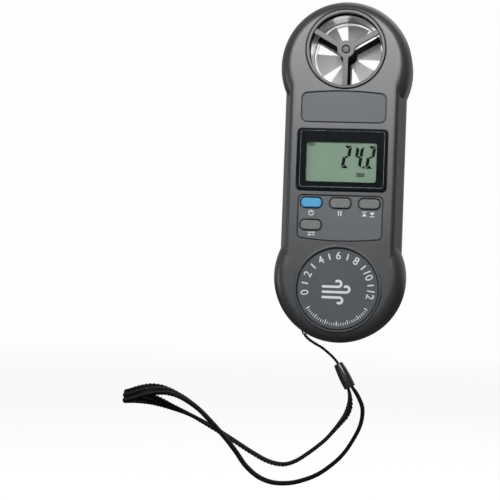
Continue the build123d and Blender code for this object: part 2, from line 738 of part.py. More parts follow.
save("lanyard_cord", lanyard_cord())

FERRULE_TOP = (-0.24, -87.98)           # x, z of the ends of its axis
FERRULE_END = (5.74, -98.87)


def cord_ferrule():
    """A tapered barrel, bored through, with a wider bore at its lower end."""
    length = math.dist(FERRULE_TOP, FERRULE_END)
    # radius, distance from the top
    profile = outline(
        (1.25, 0.0), (1.85, 0.0), (2.1, 0.25),
        ((2.1, 0.25), (2.66, 3.6), (2.88, 7.4), (2.7, length - 0.3)),
        (2.5, length), (2.35, length), (2.35, length - 4.0), (1.25, length - 4.4),
    )
    (x0, z0), (x1, z1) = FERRULE_TOP, FERRULE_END
    plane = Plane(origin=(x0, CORD_Y, z0), x_dir=(0, 1, 0), z_dir=(x1 - x0, 0, z1 - z0))
    return one(plane.location * revolve(Rot(90, 0, 0) * profile, Axis.Z, 360))


save("cord_ferrule", cord_ferrule())

# The strap hangs from the ferrule as a loop. Each row is x, y, z of the ribbon's centre
# line, the direction of its width as x, y, z, then its width and its thickness.
STRAP = [
    (5.0, -8.4, -95.9, 0, 1, 0, 2.7, 1.4), (6.57, -8.4, -98.44, 0, 1, 0, 2.8, 1.5),
    (8.6, -9.0, -101.0, 0, 1, 0, 4.6, 1.8), (10.5, -10.4, -104.1, 0, 1, 0, 5.8, 1.9),
    (12.0, -12.0, -107.8, 0, 1, 0, 6.5, 1.9), (12.1, -14.0, -112.3, 0, 1, 0, 6.5, 1.9),
    (11.0, -16.0, -117.0, 0, 1, 0, 6.5, 1.9), (8.5, -18.0, -122.2, 0, 1, 0, 6.5, 1.9),
    (5.2, -19.5, -127.5, 0, 1, 0, 6.5, 1.9), (0.8, -20.5, -132.4, 0, 1, 0, 6.5, 1.9),
    (-6.7, -21.0, -138.2, 0, 1, 0, 6.5, 1.9), (-14.8, -21.0, -141.7, 0, 1, 0, 6.5, 1.9),
    (-21.7, -21.0, -143.1, 0, 1, 0, 6.5, 1.9), (-28.6, -21.0, -142.8, 0, 1, 0, 6.5, 1.9),
    (-34.7, -21.0, -140.4, 0, 1, 0, 6.5, 1.9), (-40.3, -21.0, -135.8, 0, 1, 0, 6.5, 1.9),
    (-44.9, -21.0, -129.8, 0, 1, 0, 6.5, 1.9), (-49.8, -21.0, -124.0, 0, 1, 0, 6.5, 1.9),
    (-56.1, -21.0, -117.5, 0, 1, 0, 6.5, 1.9), (-62.4, -21.0, -111.6, 0, 1, 0, 6.5, 1.9),
    (-68.2, -21.0, -107.5, 0, 1, 0.1, 6.5, 1.9), (-73.9, -21.0, -104.7, 0, 1, 0.25, 6.5, 1.9),
    (-79.6, -21.2, -103.2, 0, 0.8, 0.6, 6.5, 1.9), (-85.2, -21.5, -103.2, 0, 0.35, 0.9, 6.6, 1.9),
    (-90.4, -21.3, -104.4, 0.1, 0.1, 1, 6.7, 1.9), (-95.4, -19.8, -106.2, 0.08, 0, 1, 6.8, 1.9),
    (-99.2, -15.6, -107.4, 0.05, 0, 1, 6.8, 1.9), (-99.0, -10.8, -107.8, 0, 0, 1, 6.8, 1.9),
    (-95.0, -8.3, -107.9, 0, -0.1, 1, 6.7, 1.9), (-88.0, -8.0, -108.6, 0, -0.4, 0.9, 6.6, 1.9),
    (-80.0, -8.0, -110.9, 0, -0.8, 0.6, 6.5, 1.9), (-70.0, -8.2, -114.6, 0, -1, 0.2, 6.5, 1.9),
    (-60.0, -8.4, -119.4, 0, -1, 0, 6.5, 1.9), (-50.0, -8.5, -124.8, 0, -1, 0, 6.5, 1.9),
    (-40.0, -8.6, -130.6, 0, -1, 0, 6.5, 1.9), (-31.5, -8.6, -134.8, 0, -1, 0, 6.5, 1.9),
    (-24.2, -8.6, -136.0, 0, -1, 0, 6.5, 1.9), (-18.7, -8.6, -134.3, 0, -1, 0, 6.5, 1.9),
    (-14.1, -8.6, -131.3, 0, -1, 0, 6.5, 1.9), (-9.5, -8.6, -127.7, 0, -1, 0, 6.5, 1.9),
    (-5.0, -8.6, -123.7, 0, -1, 0.05, 6.5, 1.9), (-1.4, -8.6, -119.6, 0.1, -1, 0.05, 6.5, 1.9),
    (1.7, -8.6, -115.6, 0.25, -1, 0.05, 6.5, 1.9), (4.2, -8.6, -111.9, 0.45, -1, 0.05, 6.4, 1.9),
    (5.7, -8.6, -107.9, 0.5, -1, 0.05, 6.0, 1.9), (6.0, -8.5, -103.7, 0.3, -1, 0.05, 4.8, 1.8),
    (4.91, -8.4, -99.36, 0, -1, 0, 2.8, 1.5), (3.5, -8.4, -96.7, 0, -1, 0, 2.7, 1.4),
]


def catmull_rom(p0, p1, p2, p3, t):
    return 0.5 * (
        2 * p1
        + (p2 - p0) * t
        + (2 * p0 - 5 * p1 + 4 * p2 - p3) * t * t
        + (3 * p1 - p0 - 3 * p2 + p3) * t * t * t
    )


def smoothed(rows, steps):
    """Catmull-Rom through the rows, with `steps` stations per span."""
    stations = []
    last = len(rows) - 1
    for k in range(last):
        around = rows[max(k - 1, 0)], rows[k], rows[k + 1], rows[min(k + 2, last)]
        for j in range(steps):
            stations.append([catmull_rom(*values, j / steps) for values in zip(*around)])
    return stations + [list(rows[-1])]


def wrist_strap():
    stations = smoothed(STRAP, 2)
    sections = []
    for k, (x, y, z, wx, wy, wz, width, thickness) in enumerate(stations):
        before = stations[max(k - 1, 0)]
        after = stations[min(k + 1, len(stations) - 1)]
        tangent = Vector(*(b - a for a, b in zip(before[:3], after[:3]))).normalized()
        # the width direction, squared up to the centre line
        across = Vector(wx, wy, wz)
        across = (across - tangent * across.dot(tangent)).normalized()
        plane = Plane(origin=(x, y, z), x_dir=across, z_dir=tangent)
        sections.append(plane * Rectangle(width, thickness))
    return one(loft(sections, ruled=True))


save("wrist_strap", wrist_strap())
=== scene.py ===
"""Handheld air-flow meter with a wrist strap.

It stands upright and faces -Y, with x to the right as seen from the front and z up. The vane and
its duct are at the top, the display, keys and printed disc below, and the strap hangs underneath,
looping out to the left. Sizes are in mm and are turned into metres with MM.
"""
import bpy
import bmesh
import json
import math
import numpy as np
from mathutils import Matrix, Vector

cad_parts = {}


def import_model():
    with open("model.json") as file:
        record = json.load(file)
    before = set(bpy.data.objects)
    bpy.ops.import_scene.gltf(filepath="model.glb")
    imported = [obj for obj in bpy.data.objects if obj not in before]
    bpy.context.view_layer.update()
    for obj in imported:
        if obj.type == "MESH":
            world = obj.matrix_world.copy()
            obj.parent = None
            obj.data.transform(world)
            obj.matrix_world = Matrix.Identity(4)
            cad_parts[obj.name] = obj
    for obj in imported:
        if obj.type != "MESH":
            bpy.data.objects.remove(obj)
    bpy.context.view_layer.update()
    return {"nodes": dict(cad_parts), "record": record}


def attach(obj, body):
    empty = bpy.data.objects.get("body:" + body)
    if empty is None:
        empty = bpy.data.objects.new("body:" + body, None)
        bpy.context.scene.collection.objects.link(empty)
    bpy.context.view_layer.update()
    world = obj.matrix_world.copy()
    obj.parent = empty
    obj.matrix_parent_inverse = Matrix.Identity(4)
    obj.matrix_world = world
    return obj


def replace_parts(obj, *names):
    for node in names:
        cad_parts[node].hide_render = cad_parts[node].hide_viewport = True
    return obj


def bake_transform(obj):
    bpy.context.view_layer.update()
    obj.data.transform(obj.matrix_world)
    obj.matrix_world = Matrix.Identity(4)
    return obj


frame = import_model()
scene = bpy.context.scene
MM = 0.001


# ======================================================================== node graphs
class Graph:
    """Builds the shader nodes of one material or world. Texture sizes are in mm."""

    def __init__(self, name, library=bpy.data.materials, output="OutputMaterial"):
        self.data = library.new(name)
        self.data.use_nodes = True
        self.tree = self.data.node_tree
        self.tree.nodes.clear()
        self.out = self.node(output)
        self._coord = None

    def node(self, kind, **props):
        made = self.tree.nodes.new("ShaderNode" + kind)
        for key, value in props.items():
            setattr(made, key, value)
        return made

    def link(self, source, target):
        self.tree.links.new(source, target)

    def put(self, socket, value):
        """Links a socket or sets a constant; a colour of three parts gets an alpha of 1."""
        if isinstance(value, bpy.types.NodeSocket):
            self.link(value, socket)
        elif isinstance(value, tuple) and len(value) == 3 and socket.type == "RGBA":
            socket.default_value = (*value, 1.0)
        else:
            socket.default_value = value

    # ---- coordinates and textures
    @property
    def coord(self):
        if self._coord is None:
            self._coord = self.node("TexCoord").outputs["Object"]
        return self._coord

    def mapped(self, scale):
        mapping = self.node("Mapping")
        self.link(self.coord, mapping.inputs["Vector"])
        mapping.inputs["Scale"].default_value = scale
        return mapping.outputs[0]

    def xyz(self, source=None):
        split = self.node("SeparateXYZ")
        self.link(source or self.coord, split.inputs[0])
        return split.outputs

    def noise(self, size_mm, detail=2.0, roughness=0.6, source=None):
        tex = self.node("TexNoise")
        self.link(source or self.coord, tex.inputs["Vector"])
        tex.inputs["Scale"].default_value = 1.0 / (size_mm * MM)
        tex.inputs["Detail"].default_value = detail
        tex.inputs["Roughness"].default_value = roughness
        return tex.outputs["Fac"]

    def voronoi(self, size_mm, feature):
        tex = self.node("TexVoronoi", feature=feature)
        self.link(self.coord, tex.inputs["Vector"])
        tex.inputs["Scale"].default_value = 1.0 / (size_mm * MM)
        return tex.outputs["Distance"]

    def wave(self, size_mm, direction, distortion=0.0, detail=0.0):
        """Bands that repeat every size_mm; the wave node runs 20 radians per unit."""
        tex = self.node("TexWave", wave_type="BANDS", bands_direction=direction)
        self.link(self.coord, tex.inputs["Vector"])
        tex.inputs["Scale"].default_value = 2 * math.pi / (20 * size_mm * MM)
        tex.inputs["Distortion"].default_value = distortion
        tex.inputs["Detail"].default_value = detail
        return tex.outputs["Fac"]

    # ---- arithmetic
    def math(self, operation, *values):
        made = self.node("Math", operation=operation)
        for k, value in enumerate(values):
            self.put(made.inputs[k], value)
        return made.outputs[0]

    def add(self, first, second):
        return self.math("ADD", first, second)

    def times(self, first, second):
        return self.math("MULTIPLY", first, second)

    def length(self, first, second):
        return self.math("SQRT", self.add(self.times(first, first), self.times(second, second)))

    def remap(self, value, to=(0.0, 1.0), over=(0.3, 0.7)):
        """Maps the range `over` onto `to`; the default range is where noise mostly lies."""
        made = self.node("MapRange")
        self.put(made.inputs["Value"], value)
        ends = zip(("From Min", "From Max", "To Min", "To Max"), (*over, *to))
        for key, end in ends:
            made.inputs[key].default_value = end
        return made.outputs["Result"]

    def mix(self, share, first, second):
        made = self.node("Mix", data_type="RGBA")
        self.put(made.inputs[0], share)
        self.put(made.inputs[6], first)
        self.put(made.inputs[7], second)
        return made.outputs[2]

    def tint(self, base, other, by, amount=1.0, over=(0.3, 0.7)):
        """Mixes up to `amount` of `other` into `base` as the pattern `by` rises across `over`."""
        return self.mix(self.remap(by, to=(0.0, amount), over=over), base, other)

    # ---- relief
    def bevel(self, radius_mm, samples=4):
        made = self.node("Bevel")
        made.samples = samples
        made.inputs["Radius"].default_value = radius_mm * MM
        return made.outputs[0]

    def edge_mask(self, bevelled, gain=3.0):
        """1 along rounded-over edges, 0 on faces."""
        geometry = self.node("NewGeometry")
        dot = self.node("VectorMath", operation="DOT_PRODUCT")
        self.link(bevelled, dot.inputs[0])
        self.link(geometry.outputs["Normal"], dot.inputs[1])
        mask = self.times(self.math("SUBTRACT", 1.0, dot.outputs["Value"]), gain)
        mask.node.use_clamp = True
        return mask

    def bump(self, height, strength, depth_mm, normal=None):
        made = self.node("Bump")
        made.inputs["Strength"].default_value = strength
        made.inputs["Distance"].default_value = depth_mm * MM
        self.link(height, made.inputs["Height"])
        if normal is not None:
            self.link(normal, made.inputs["Normal"])
        return made.outputs[0]

    def moulded_bump(self, fine, pits, strength, normal):
        """Spark-eroded grain of a mould."""
        height = self.add(self.times(fine, 0.6), self.times(pits, 0.6))
        return self.bump(height, strength=strength, depth_mm=0.05, normal=normal)

    # ---- shaders
    def shader(self, kind, **inputs):
        """A shader node; inputs are named with _ for each space."""
        made = self.node(kind)
        for key, value in inputs.items():
            self.put(made.inputs[key.replace("_", " ")], value)
        return made.outputs[0]

    def principled(self, color, roughness, normal, metallic=0.0, **more):
        return self.shader("BsdfPrincipled", Base_Color=color, Roughness=roughness,
                           Metallic=metallic, Normal=normal, **more)

    def mix_shader(self, share, first, second):
        made = self.node("MixShader")
        self.put(made.inputs[0], share)
        self.link(first, made.inputs[1])
        self.link(second, made.inputs[2])
        return made.outputs[0]

    def finish(self, surface):
        self.link(surface, self.out.inputs["Surface"])
        return self.data


def scaled(color, factor):
    return tuple(min(1.0, c * factor) for c in color)


def grey(level):
    return (level, level, level)


# ========================================================================== materials
def plastic(name, color, roughness, grain_mm, grain, tone, spread, edge_mm, wear,
            specular=0.5, samples=3):
    """Moulded plastic: fine grain, cloudy gloss and tone, and slightly polished edges."""
    g = Graph(name)
    cloud = g.noise(size_mm=9.0, detail=3.0, roughness=0.55)
    patch = g.noise(size_mm=1.6)
    fine = g.noise(size_mm=grain_mm)
    pits = g.voronoi(size_mm=grain_mm * 1.7, feature="SMOOTH_F1")
    base = g.tint(scaled(color, 1 - tone), scaled(color, 1 + tone), by=cloud)
    base = g.tint(base, scaled(color, 1 - 0.6 * tone), by=patch, amount=0.3, over=(0.35, 0.65))
    gloss = g.remap(g.add(cloud, g.times(fine, 0.6)), over=(0.5, 1.1),
                    to=(roughness - spread, roughness + spread))
    bevelled = None
    if edge_mm:
        bevelled = g.bevel(edge_mm, samples)
        scuff = g.times(g.edge_mask(bevelled), g.remap(patch, to=(0.35, 1.0), over=(0.35, 0.6)))
        base = g.mix(g.times(scuff, 0.5), base, scaled(color, 1 + 0.4 * wear))
        gloss = g.math("SUBTRACT", gloss, g.times(scuff, 0.10))
    normal = g.moulded_bump(fine, pits, strength=grain, normal=bevelled)
    return g.finish(g.principled(base, gloss, normal, Specular_IOR_Level=specular,
                                 Coat_Roughness=0.12))


def film(name, color, specular, edge_shadow=0.0):
    """Printed polycarbonate film: even tone, fine velvet texture."""
    g = Graph(name)
    fine = g.noise(size_mm=0.16)
    cloud = g.noise(size_mm=14.0, roughness=0.5)
    base = g.tint(scaled(color, 0.95), scaled(color, 1.05), by=cloud)
    base = g.tint(base, scaled(color, 1.12), by=fine, amount=0.25)
    gloss = g.remap(cloud, to=(0.47, 0.54))
    bevelled = g.bevel(radius_mm=0.12, samples=3)
    if edge_shadow:
        # the die-cut edge sits in the shadow of its recess
        rim = g.edge_mask(g.bevel(radius_mm=0.5, samples=6), gain=26.0)
        base = g.mix(g.times(rim, edge_shadow), base, grey(0.004))
    normal = g.bump(fine, strength=0.05, depth_mm=0.03, normal=bevelled)
    return g.finish(g.principled(base, gloss, normal, Specular_IOR_Level=specular))


def metal(name, color, roughness, size_mm, strength, stretch=(1, 1, 1)):
    """Metal with fine lines (drawn out along the small axis of `stretch`) and some tarnish."""
    g = Graph(name)
    lines = g.noise(size_mm=size_mm, detail=3.0, source=g.mapped(stretch))
    cloud = g.noise(size_mm=3.0, detail=3.0)
    base = g.tint(color, scaled(color, 0.88), by=cloud, over=(0.35, 0.7))
    base = g.tint(base, scaled(color, 1.15), by=lines, amount=0.35)
    gloss = g.remap(g.add(lines, cloud), over=(0.7, 1.3),
                    to=(roughness - 0.06, roughness + 0.09))
    normal = g.bump(lines, strength=strength, depth_mm=0.02,
                    normal=g.bevel(radius_mm=0.1, samples=3))
    return g.finish(g.principled(base, gloss, normal, metallic=1.0))


def bezel_material():
    """Gloss black acrylic with faint swirl marks and dust."""
    g = Graph("bezel_gloss")
    swirl = g.noise(size_mm=0.5, detail=3.0, source=g.mapped((0.15, 1, 1)))
    dust = g.noise(size_mm=0.25, roughness=0.7)
    cloud = g.noise(size_mm=7.0, roughness=0.5)
    base = g.tint((0.0042, 0.0060, 0.0078), (0.0065, 0.0090, 0.0112), by=cloud)
    base = g.tint(base, grey(0.05), by=dust, amount=0.25, over=(0.66, 0.8))
    gloss = g.remap(g.add(swirl, g.times(dust, 0.5)), to=(0.06, 0.13), over=(0.5, 1.0))
    normal = g.bump(swirl, strength=0.02, depth_mm=0.02, normal=g.bevel(radius_mm=0.3))
    return g.finish(g.principled(base, gloss, normal, Specular_IOR_Level=0.38))


def window_material():
    """Clear lens: what lies behind shows through, with a weak reflection and a painted highlight
    along its edges.
    """
    g = Graph("window_clear")
    smear = g.noise(size_mm=4.0, detail=3.0, source=g.mapped((1, 1, 0.4)))
    bevelled = g.bevel(radius_mm=0.25)
    reflection = g.shader("Fresnel", IOR=1.49, Normal=bevelled)
    gloss = g.shader("BsdfGlossy", Color=(0.95, 0.97, 1.0), Normal=bevelled,
                     Roughness=g.remap(smear, to=(0.02, 0.06)))
    clear_color = g.tint((0.965, 0.975, 0.97), (0.95, 0.96, 0.955), by=smear, over=(0.4, 0.7))
    clear = g.shader("BsdfTransparent", Color=clear_color)
    # painted highlight: a pale diffuse white is mixed in along the lens edges, standing in for
    # light caught by those edges
    edge = g.edge_mask(bevelled, gain=6.0)
    white = g.shader("BsdfDiffuse", Color=(0.62, 0.64, 0.66))
    # the ray isn't bent inside the lens, so only its entry reflects: the way out would seem
    # past the critical angle
    entering = g.math("SUBTRACT", 1.0, g.node("NewGeometry").outputs["Backfacing"])
    faces = g.mix_shader(g.times(reflection, entering), clear, gloss)
    return g.finish(g.mix_shader(g.times(edge, 0.9), faces, white))


def guard_material():
    """Moulded guard: the case's grey in front and behind, with painted shade that turns it black
    inside the duct.
    """
    g = Graph("guard_moulded")
    color = (0.036, 0.038, 0.041)
    _, y, _ = g.xyz()
    cloud = g.noise(size_mm=6.0, detail=3.0, roughness=0.55)
    fine = g.noise(size_mm=0.18)
    pits = g.voronoi(size_mm=0.3, feature="SMOOTH_F1")
    base = g.tint(scaled(color, 0.92), scaled(color, 1.08), by=cloud)
    bevelled = g.bevel(radius_mm=0.3)
    base = g.mix(g.times(g.edge_mask(bevelled), 0.4), base, scaled(color, 1.5))
    # painted shade: between the front and back faces, inside the duct, the guard is coloured
    # near-black and made dull and barely reflective, standing in for the shade there
    front = g.remap(y, over=(-31.7 * MM, -32.25 * MM))
    back = g.remap(y, over=(-4.0 * MM, -3.2 * MM))
    clear_of_painted_shade = g.math("MAXIMUM", front, back)
    base = g.mix(clear_of_painted_shade, (0.0016, 0.0016, 0.0018), base)
    return g.finish(g.principled(
        base,
        roughness=g.remap(clear_of_painted_shade, to=(0.95, 0.36), over=(0.0, 1.0)),
        normal=g.moulded_bump(fine, pits, strength=0.08, normal=bevelled),
        Specular_IOR_Level=g.remap(clear_of_painted_shade, to=(0.03, 0.8), over=(0.0, 1.0))))


def lcd_material():
    """Display glass: green-grey, with painted shade: brighter low down and darker towards the top,
    and a painted shadow darkening its left edge.
    """
    g = Graph("lcd_glass")
    x, _, z = g.xyz()
    # painted shade: the glass is coloured darker towards the top, as light falls off there
    painted_light_falloff = g.remap(z, to=(1.0, 0.0), over=(-4.4 * MM, 12.9 * MM))
    side = g.remap(x, over=(-16.2 * MM, -13.2 * MM))
    cloud = g.noise(size_mm=11.0, roughness=0.5)
    fine = g.noise(size_mm=0.12)
    base = g.mix(painted_light_falloff, (0.206, 0.304, 0.213), (0.234, 0.345, 0.241))
    base = g.tint(base, (0.208, 0.312, 0.220), by=cloud, amount=0.35)
    base = g.tint(base, (0.27, 0.39, 0.28), by=fine, amount=0.25, over=(0.35, 0.65))
    # painted shadow: the glass is coloured darker along its left edge, as in the shadow of the
    # window's edge
    base = g.mix(g.times(g.math("SUBTRACT", 1.0, side), 0.35), base, (0.10, 0.15, 0.11))
    return g.finish(g.principled(base, g.remap(fine, to=(0.30, 0.42)),
                                 g.bump(fine, strength=0.05, depth_mm=0.02),
                                 Specular_IOR_Level=0.4))


def lcd_ink_material():
    """Dark display segments."""
    g = Graph("lcd_segment")
    fine = g.noise(size_mm=0.15)
    base = g.tint((0.0015, 0.004, 0.0035), (0.004, 0.008, 0.007), by=fine)
    return g.finish(g.principled(base, g.remap(fine, to=(0.35, 0.5)),
                                 g.bump(fine, strength=0.04, depth_mm=0.01),
                                 Specular_IOR_Level=0.05))


def white_ink_material():
    """Screen-printed ink: slightly uneven cover with a soft sheen."""
    g = Graph("ink_white")
    color = (0.74, 0.78, 0.79)
    fine = g.noise(size_mm=0.10, detail=3.0, roughness=0.65)
    cloud = g.noise(size_mm=2.5, roughness=0.5)
    base = g.tint(color, scaled(color, 0.82), by=fine, amount=0.5, over=(0.35, 0.75))
    base = g.tint(base, scaled(color, 0.92), by=cloud, amount=0.4)
    return g.finish(g.principled(base, g.remap(fine, to=(0.42, 0.55)),
                                 g.bump(fine, strength=0.12, depth_mm=0.01)))


def duct_material():
    """Light grey sleeve, with turned rings round the bore and painted shade in their grooves."""
    g = Graph("duct_satin")
    color = (0.66, 0.66, 0.65)
    rings = g.wave(size_mm=0.55, direction="Y", distortion=0.4, detail=1.0)
    grain = g.noise(size_mm=0.25)
    cloud = g.noise(size_mm=5.0, roughness=0.5)
    base = g.tint(color, scaled(color, 0.86), by=cloud)
    groove_shade = g.remap(rings, to=(1.0, 0.0), over=(0.0, 0.16))
    # painted shade: the bottoms of the turned rings are coloured darker
    base = g.mix(g.times(groove_shade, 0.25), base, scaled(color, 0.45))
    height = g.add(rings, g.times(grain, 0.2))
    normal = g.bump(height, strength=0.12, depth_mm=0.05,
                    normal=g.bevel(radius_mm=0.2, samples=3))
    return g.finish(g.principled(base, g.remap(grain, to=(0.20, 0.30)), normal,
                                 Specular_IOR_Level=0.6))


def vane_material():
    """Silvery satin blades with flow rings about the hub; some light passes through."""
    g = Graph("vane_silver")
    hub_mm = (0, -6.2, 55.2)
    ring_mm = 0.45
    from_hub = g.node("VectorMath", operation="SUBTRACT")
    g.link(g.mapped((1, 1, 1)), from_hub.inputs[0])
    from_hub.inputs[1].default_value = tuple(c * MM for c in hub_mm)
    x, _, z = g.xyz(from_hub.outputs[0])
    rings = g.math("SINE", g.times(g.length(x, z), 2 * math.pi / (ring_mm * MM)))
    grain = g.noise(size_mm=0.3)
    cloud = g.noise(size_mm=4.0)
    base = g.tint(grey(0.93), grey(0.86), by=cloud)
    base = g.tint(base, grey(0.92), by=rings, amount=0.12, over=(0.5, 1.0))
    height = g.add(g.times(rings, 0.15), grain)
    normal = g.bump(height, strength=0.10, depth_mm=0.03,
                    normal=g.bevel(radius_mm=0.12, samples=3))
    satin = g.principled(base, g.remap(grain, to=(0.26, 0.36)), normal, metallic=0.2,
                         Specular_IOR_Level=0.6)
    through = g.shader("BsdfTranslucent", Color=(0.93, 0.93, 0.92))
    return g.finish(g.mix_shader(0.42, satin, through))


def board_material():
    """Green solder mask over copper tracks."""
    g = Graph("board_fr4")
    cells = g.voronoi(size_mm=2.4, feature="DISTANCE_TO_EDGE")
    track = g.remap(cells, to=(1.0, 0.0), over=(0.06, 0.10))
    weave = g.add(g.wave(size_mm=0.5, direction="X"), g.wave(size_mm=0.5, direction="Z"))
    base = g.mix(track, (0.012, 0.085, 0.034), (0.05, 0.20, 0.07))
    base = g.tint(base, (0.03, 0.14, 0.05), by=weave, amount=0.2, over=(0.8, 2.0))
    return g.finish(g.principled(base, roughness=0.28, Specular_IOR_Level=0.6,
                                 normal=g.bump(track, strength=0.25, depth_mm=0.03)))


def wire_material(name, color):
    g = Graph(name)
    fine = g.noise(size_mm=0.3)
    base = g.tint(color, scaled(color, 1.3), by=fine)
    return g.finish(g.principled(base, g.remap(fine, to=(0.35, 0.5)),
                                 g.bump(fine, strength=0.1, depth_mm=0.03)))


def elastomer_material():
    """Connector strip of dark and pink-grey layers side by side."""
    g = Graph("zebra_elastomer")
    bands = g.wave(size_mm=0.36, direction="X")
    base = g.tint((0.02, 0.02, 0.022), (0.42, 0.30, 0.34), by=bands, over=(0.4, 0.6))
    return g.finish(g.principled(base, roughness=0.6,
                                 normal=g.bump(bands, strength=0.1, depth_mm=0.03)))


def cell_material():
    """Battery cell: black wrap with a gold band, then bare metal, towards each end."""
    g = Graph("cell_wrap")
    middle_mm = -37.7
    _, _, z = g.xyz()
    fine = g.noise(size_mm=0.5)
    off_middle = g.math("ABSOLUTE", g.math("SUBTRACT", z, middle_mm * MM))
    band = g.remap(off_middle, over=(13.8 * MM, 14.0 * MM))
    cap_end = g.remap(off_middle, over=(21.0 * MM, 21.2 * MM))
    base = g.mix(band, (0.012, 0.013, 0.018), (0.55, 0.36, 0.13))
    base = g.mix(cap_end, base, (0.7, 0.69, 0.66))
    return g.finish(g.principled(base, g.remap(fine, to=(0.2, 0.34)),
                                 g.bump(fine, strength=0.03, depth_mm=0.03),
                                 metallic=g.math("MAXIMUM", band, cap_end)))


def capacitor_material():
    g = Graph("capacitor_sleeve")
    fine = g.noise(size_mm=0.4)
    base = g.tint((0.012, 0.016, 0.05), (0.02, 0.026, 0.07), by=fine)
    return g.finish(g.principled(base, roughness=0.28,
                                 normal=g.bump(fine, strength=0.06, depth_mm=0.03)))


def ferrule_material():
    """Gloss black moulding with a soft orange-peel surface."""
    g = Graph("ferrule_gloss")
    peel = g.noise(size_mm=1.1, roughness=0.5)
    fine = g.noise(size_mm=0.2)
    base = g.tint((0.006, 0.0055, 0.0058), (0.010, 0.0095, 0.010), by=fine, over=(0.4, 0.7))
    normal = g.bump(peel, strength=0.03, depth_mm=0.03, normal=g.bevel(radius_mm=0.15))
    return g.finish(g.principled(base, g.remap(peel, to=(0.22, 0.26)), normal,
                                 Specular_IOR_Level=1.0, Coat_Weight=1.0,
                                 Coat_Roughness=0.16))


def yarn_material(name, filament_mm, light):
    """Bundled filaments along each strand (UV V), laid slantwise across its width (UV U).

    Painted highlight and shade: strands are coloured light only where they ride high (attribute
    "crest") and stand open, as if catching the light, and near-black in hollows and where they
    pass under.
    """
    g = Graph(name)
    # dark: the painted shade colour of hollows and strands passing under; also the tone of random
    # darker patches
    dark = grey(0.0004)
    u, v, _ = g.xyz(g.node("TexCoord").outputs["UV"])
    across = g.add(g.times(u, 9.0), g.times(v, 0.35 / filament_mm))
    fibre = g.math("SINE", g.times(across, 2 * math.pi))
    fuzz = g.noise(size_mm=0.12, detail=3.0, roughness=0.65)
    cloud = g.noise(size_mm=2.5)
    level = g.add(g.times(fibre, 0.25), g.times(fuzz, 0.9))
    base = g.tint(scaled(light, 0.45), light, by=level, over=(0.2, 0.9))
    occlusion_for_shade = g.node("AmbientOcclusion")
    occlusion_for_shade.samples = 6
    occlusion_for_shade.inputs["Distance"].default_value = 0.55 * MM
    ride = g.node("Attribute", attribute_name="crest")
    # painted highlight and shade: open crests get the light colour, occluded spots and strands
    # passing under are coloured near-black
    painted_crest_light = g.times(g.remap(occlusion_for_shade.outputs["AO"], over=(0.72, 1.0)),
                    g.remap(ride.outputs["Fac"], over=(0.62, 1.0)))
    base = g.mix(painted_crest_light, dark, base)
    base = g.tint(base, scaled(dark, 0.7), by=cloud, amount=0.4)
    normal = g.bump(g.add(g.times(fibre, 0.5), fuzz), strength=0.55, depth_mm=0.04)
    return g.finish(g.principled(base, g.remap(fuzz, to=(0.30, 0.46)), normal,
                                 Specular_IOR_Level=0.12, Sheen_Roughness=0.45,
                                 Sheen_Tint=grey(0.5)))


CASE = (0.034, 0.035, 0.038)
# material slot, material name, colour, then: roughness, grain size in mm, grain strength,
# tone variation, roughness spread, edge radius in mm, edge wear[, specular[, bevel samples]]
PLASTICS = [
    ("case_front", "case_front_moulded", CASE,
     0.38, 0.20, 0.08, 0.07, 0.03, 0.35, 1.4, 1.0, 4),
    ("case_rear", "case_rear_moulded", scaled(CASE, 0.95),
     0.40, 0.24, 0.16, 0.08, 0.04, 0.3, 1.4, 0.6, 4),
    ("guard_black", "guard_moulded_black", (0.0014, 0.0014, 0.0016),
     0.5, 0.18, 0.08, 0.06, 0.04, 0.3, 1.0, 0.05, 4),
    ("bearing", "bearing_acetal", (0.075, 0.077, 0.082),
     0.40, 0.25, 0.06, 0.06, 0.04, 0.12, 0.6),
    ("chip", "chip_epoxy", (0.016, 0.016, 0.017),
     0.62, 0.10, 0.2, 0.1, 0.05, 0.1, 1.0),
    ("holder", "holder_abs", (0.55, 0.55, 0.52),
     0.5, 0.25, 0.1, 0.05, 0.05, 0.2, 0.2),
    ("trim", "trim_pot_blue", (0.04, 0.10, 0.36),
     0.42, 0.2, 0.06, 0.08, 0.04, 0.15, 0.6),
    ("foam", "gasket_foam", (0.03, 0.03, 0.032),
     0.95, 0.35, 0.9, 0.2, 0.03, 0.0, 0.0, 0.2),
    ("silicone", "keypad_silicone", (0.12, 0.125, 0.13),
     0.62, 0.3, 0.08, 0.06, 0.05, 0.2, 0.4, 0.4),
    ("key_grey", "key_grey_rubber", (0.165, 0.174, 0.165),
     0.52, 0.16, 0.10, 0.05, 0.04, 0.3, 0.35, 0.4, 4),
    ("key_blue", "key_blue_rubber", (0.068, 0.335, 0.610),
     0.48, 0.16, 0.08, 0.05, 0.04, 0.3, 0.3, 0.45, 4),
]
MAT = {slot: plastic(*row) for slot, *row in PLASTICS}
MAT["label"] = film("label_film", (0.106, 0.116, 0.124), specular=0.45, edge_shadow=1.0)
MAT["disc"] = film("disc_film", (0.094, 0.104, 0.110), specular=0.2)
MAT["screw_steel"] = metal("screw_zinc", (0.62, 0.62, 0.63), roughness=0.32,
                           size_mm=0.2, strength=0.1)
MAT["shaft_steel"] = metal("shaft_ground", (0.66, 0.66, 0.67), roughness=0.22,
                           size_mm=0.12, strength=0.12, stretch=(1, 0.05, 1))
MAT["can"] = metal("can_nickel", (0.70, 0.69, 0.67), roughness=0.28,
                   size_mm=0.25, strength=0.08)
MAT["contact"] = metal("contact_nickel", (0.72, 0.70, 0.65), roughness=0.30,
                       size_mm=0.15, strength=0.1, stretch=(0.05, 1, 1))
MAT["bezel"] = bezel_material()
MAT["window"] = window_material()
MAT["guard"] = guard_material()
MAT["lcd"] = lcd_material()
MAT["duct"] = duct_material()
MAT["vane"] = vane_material()
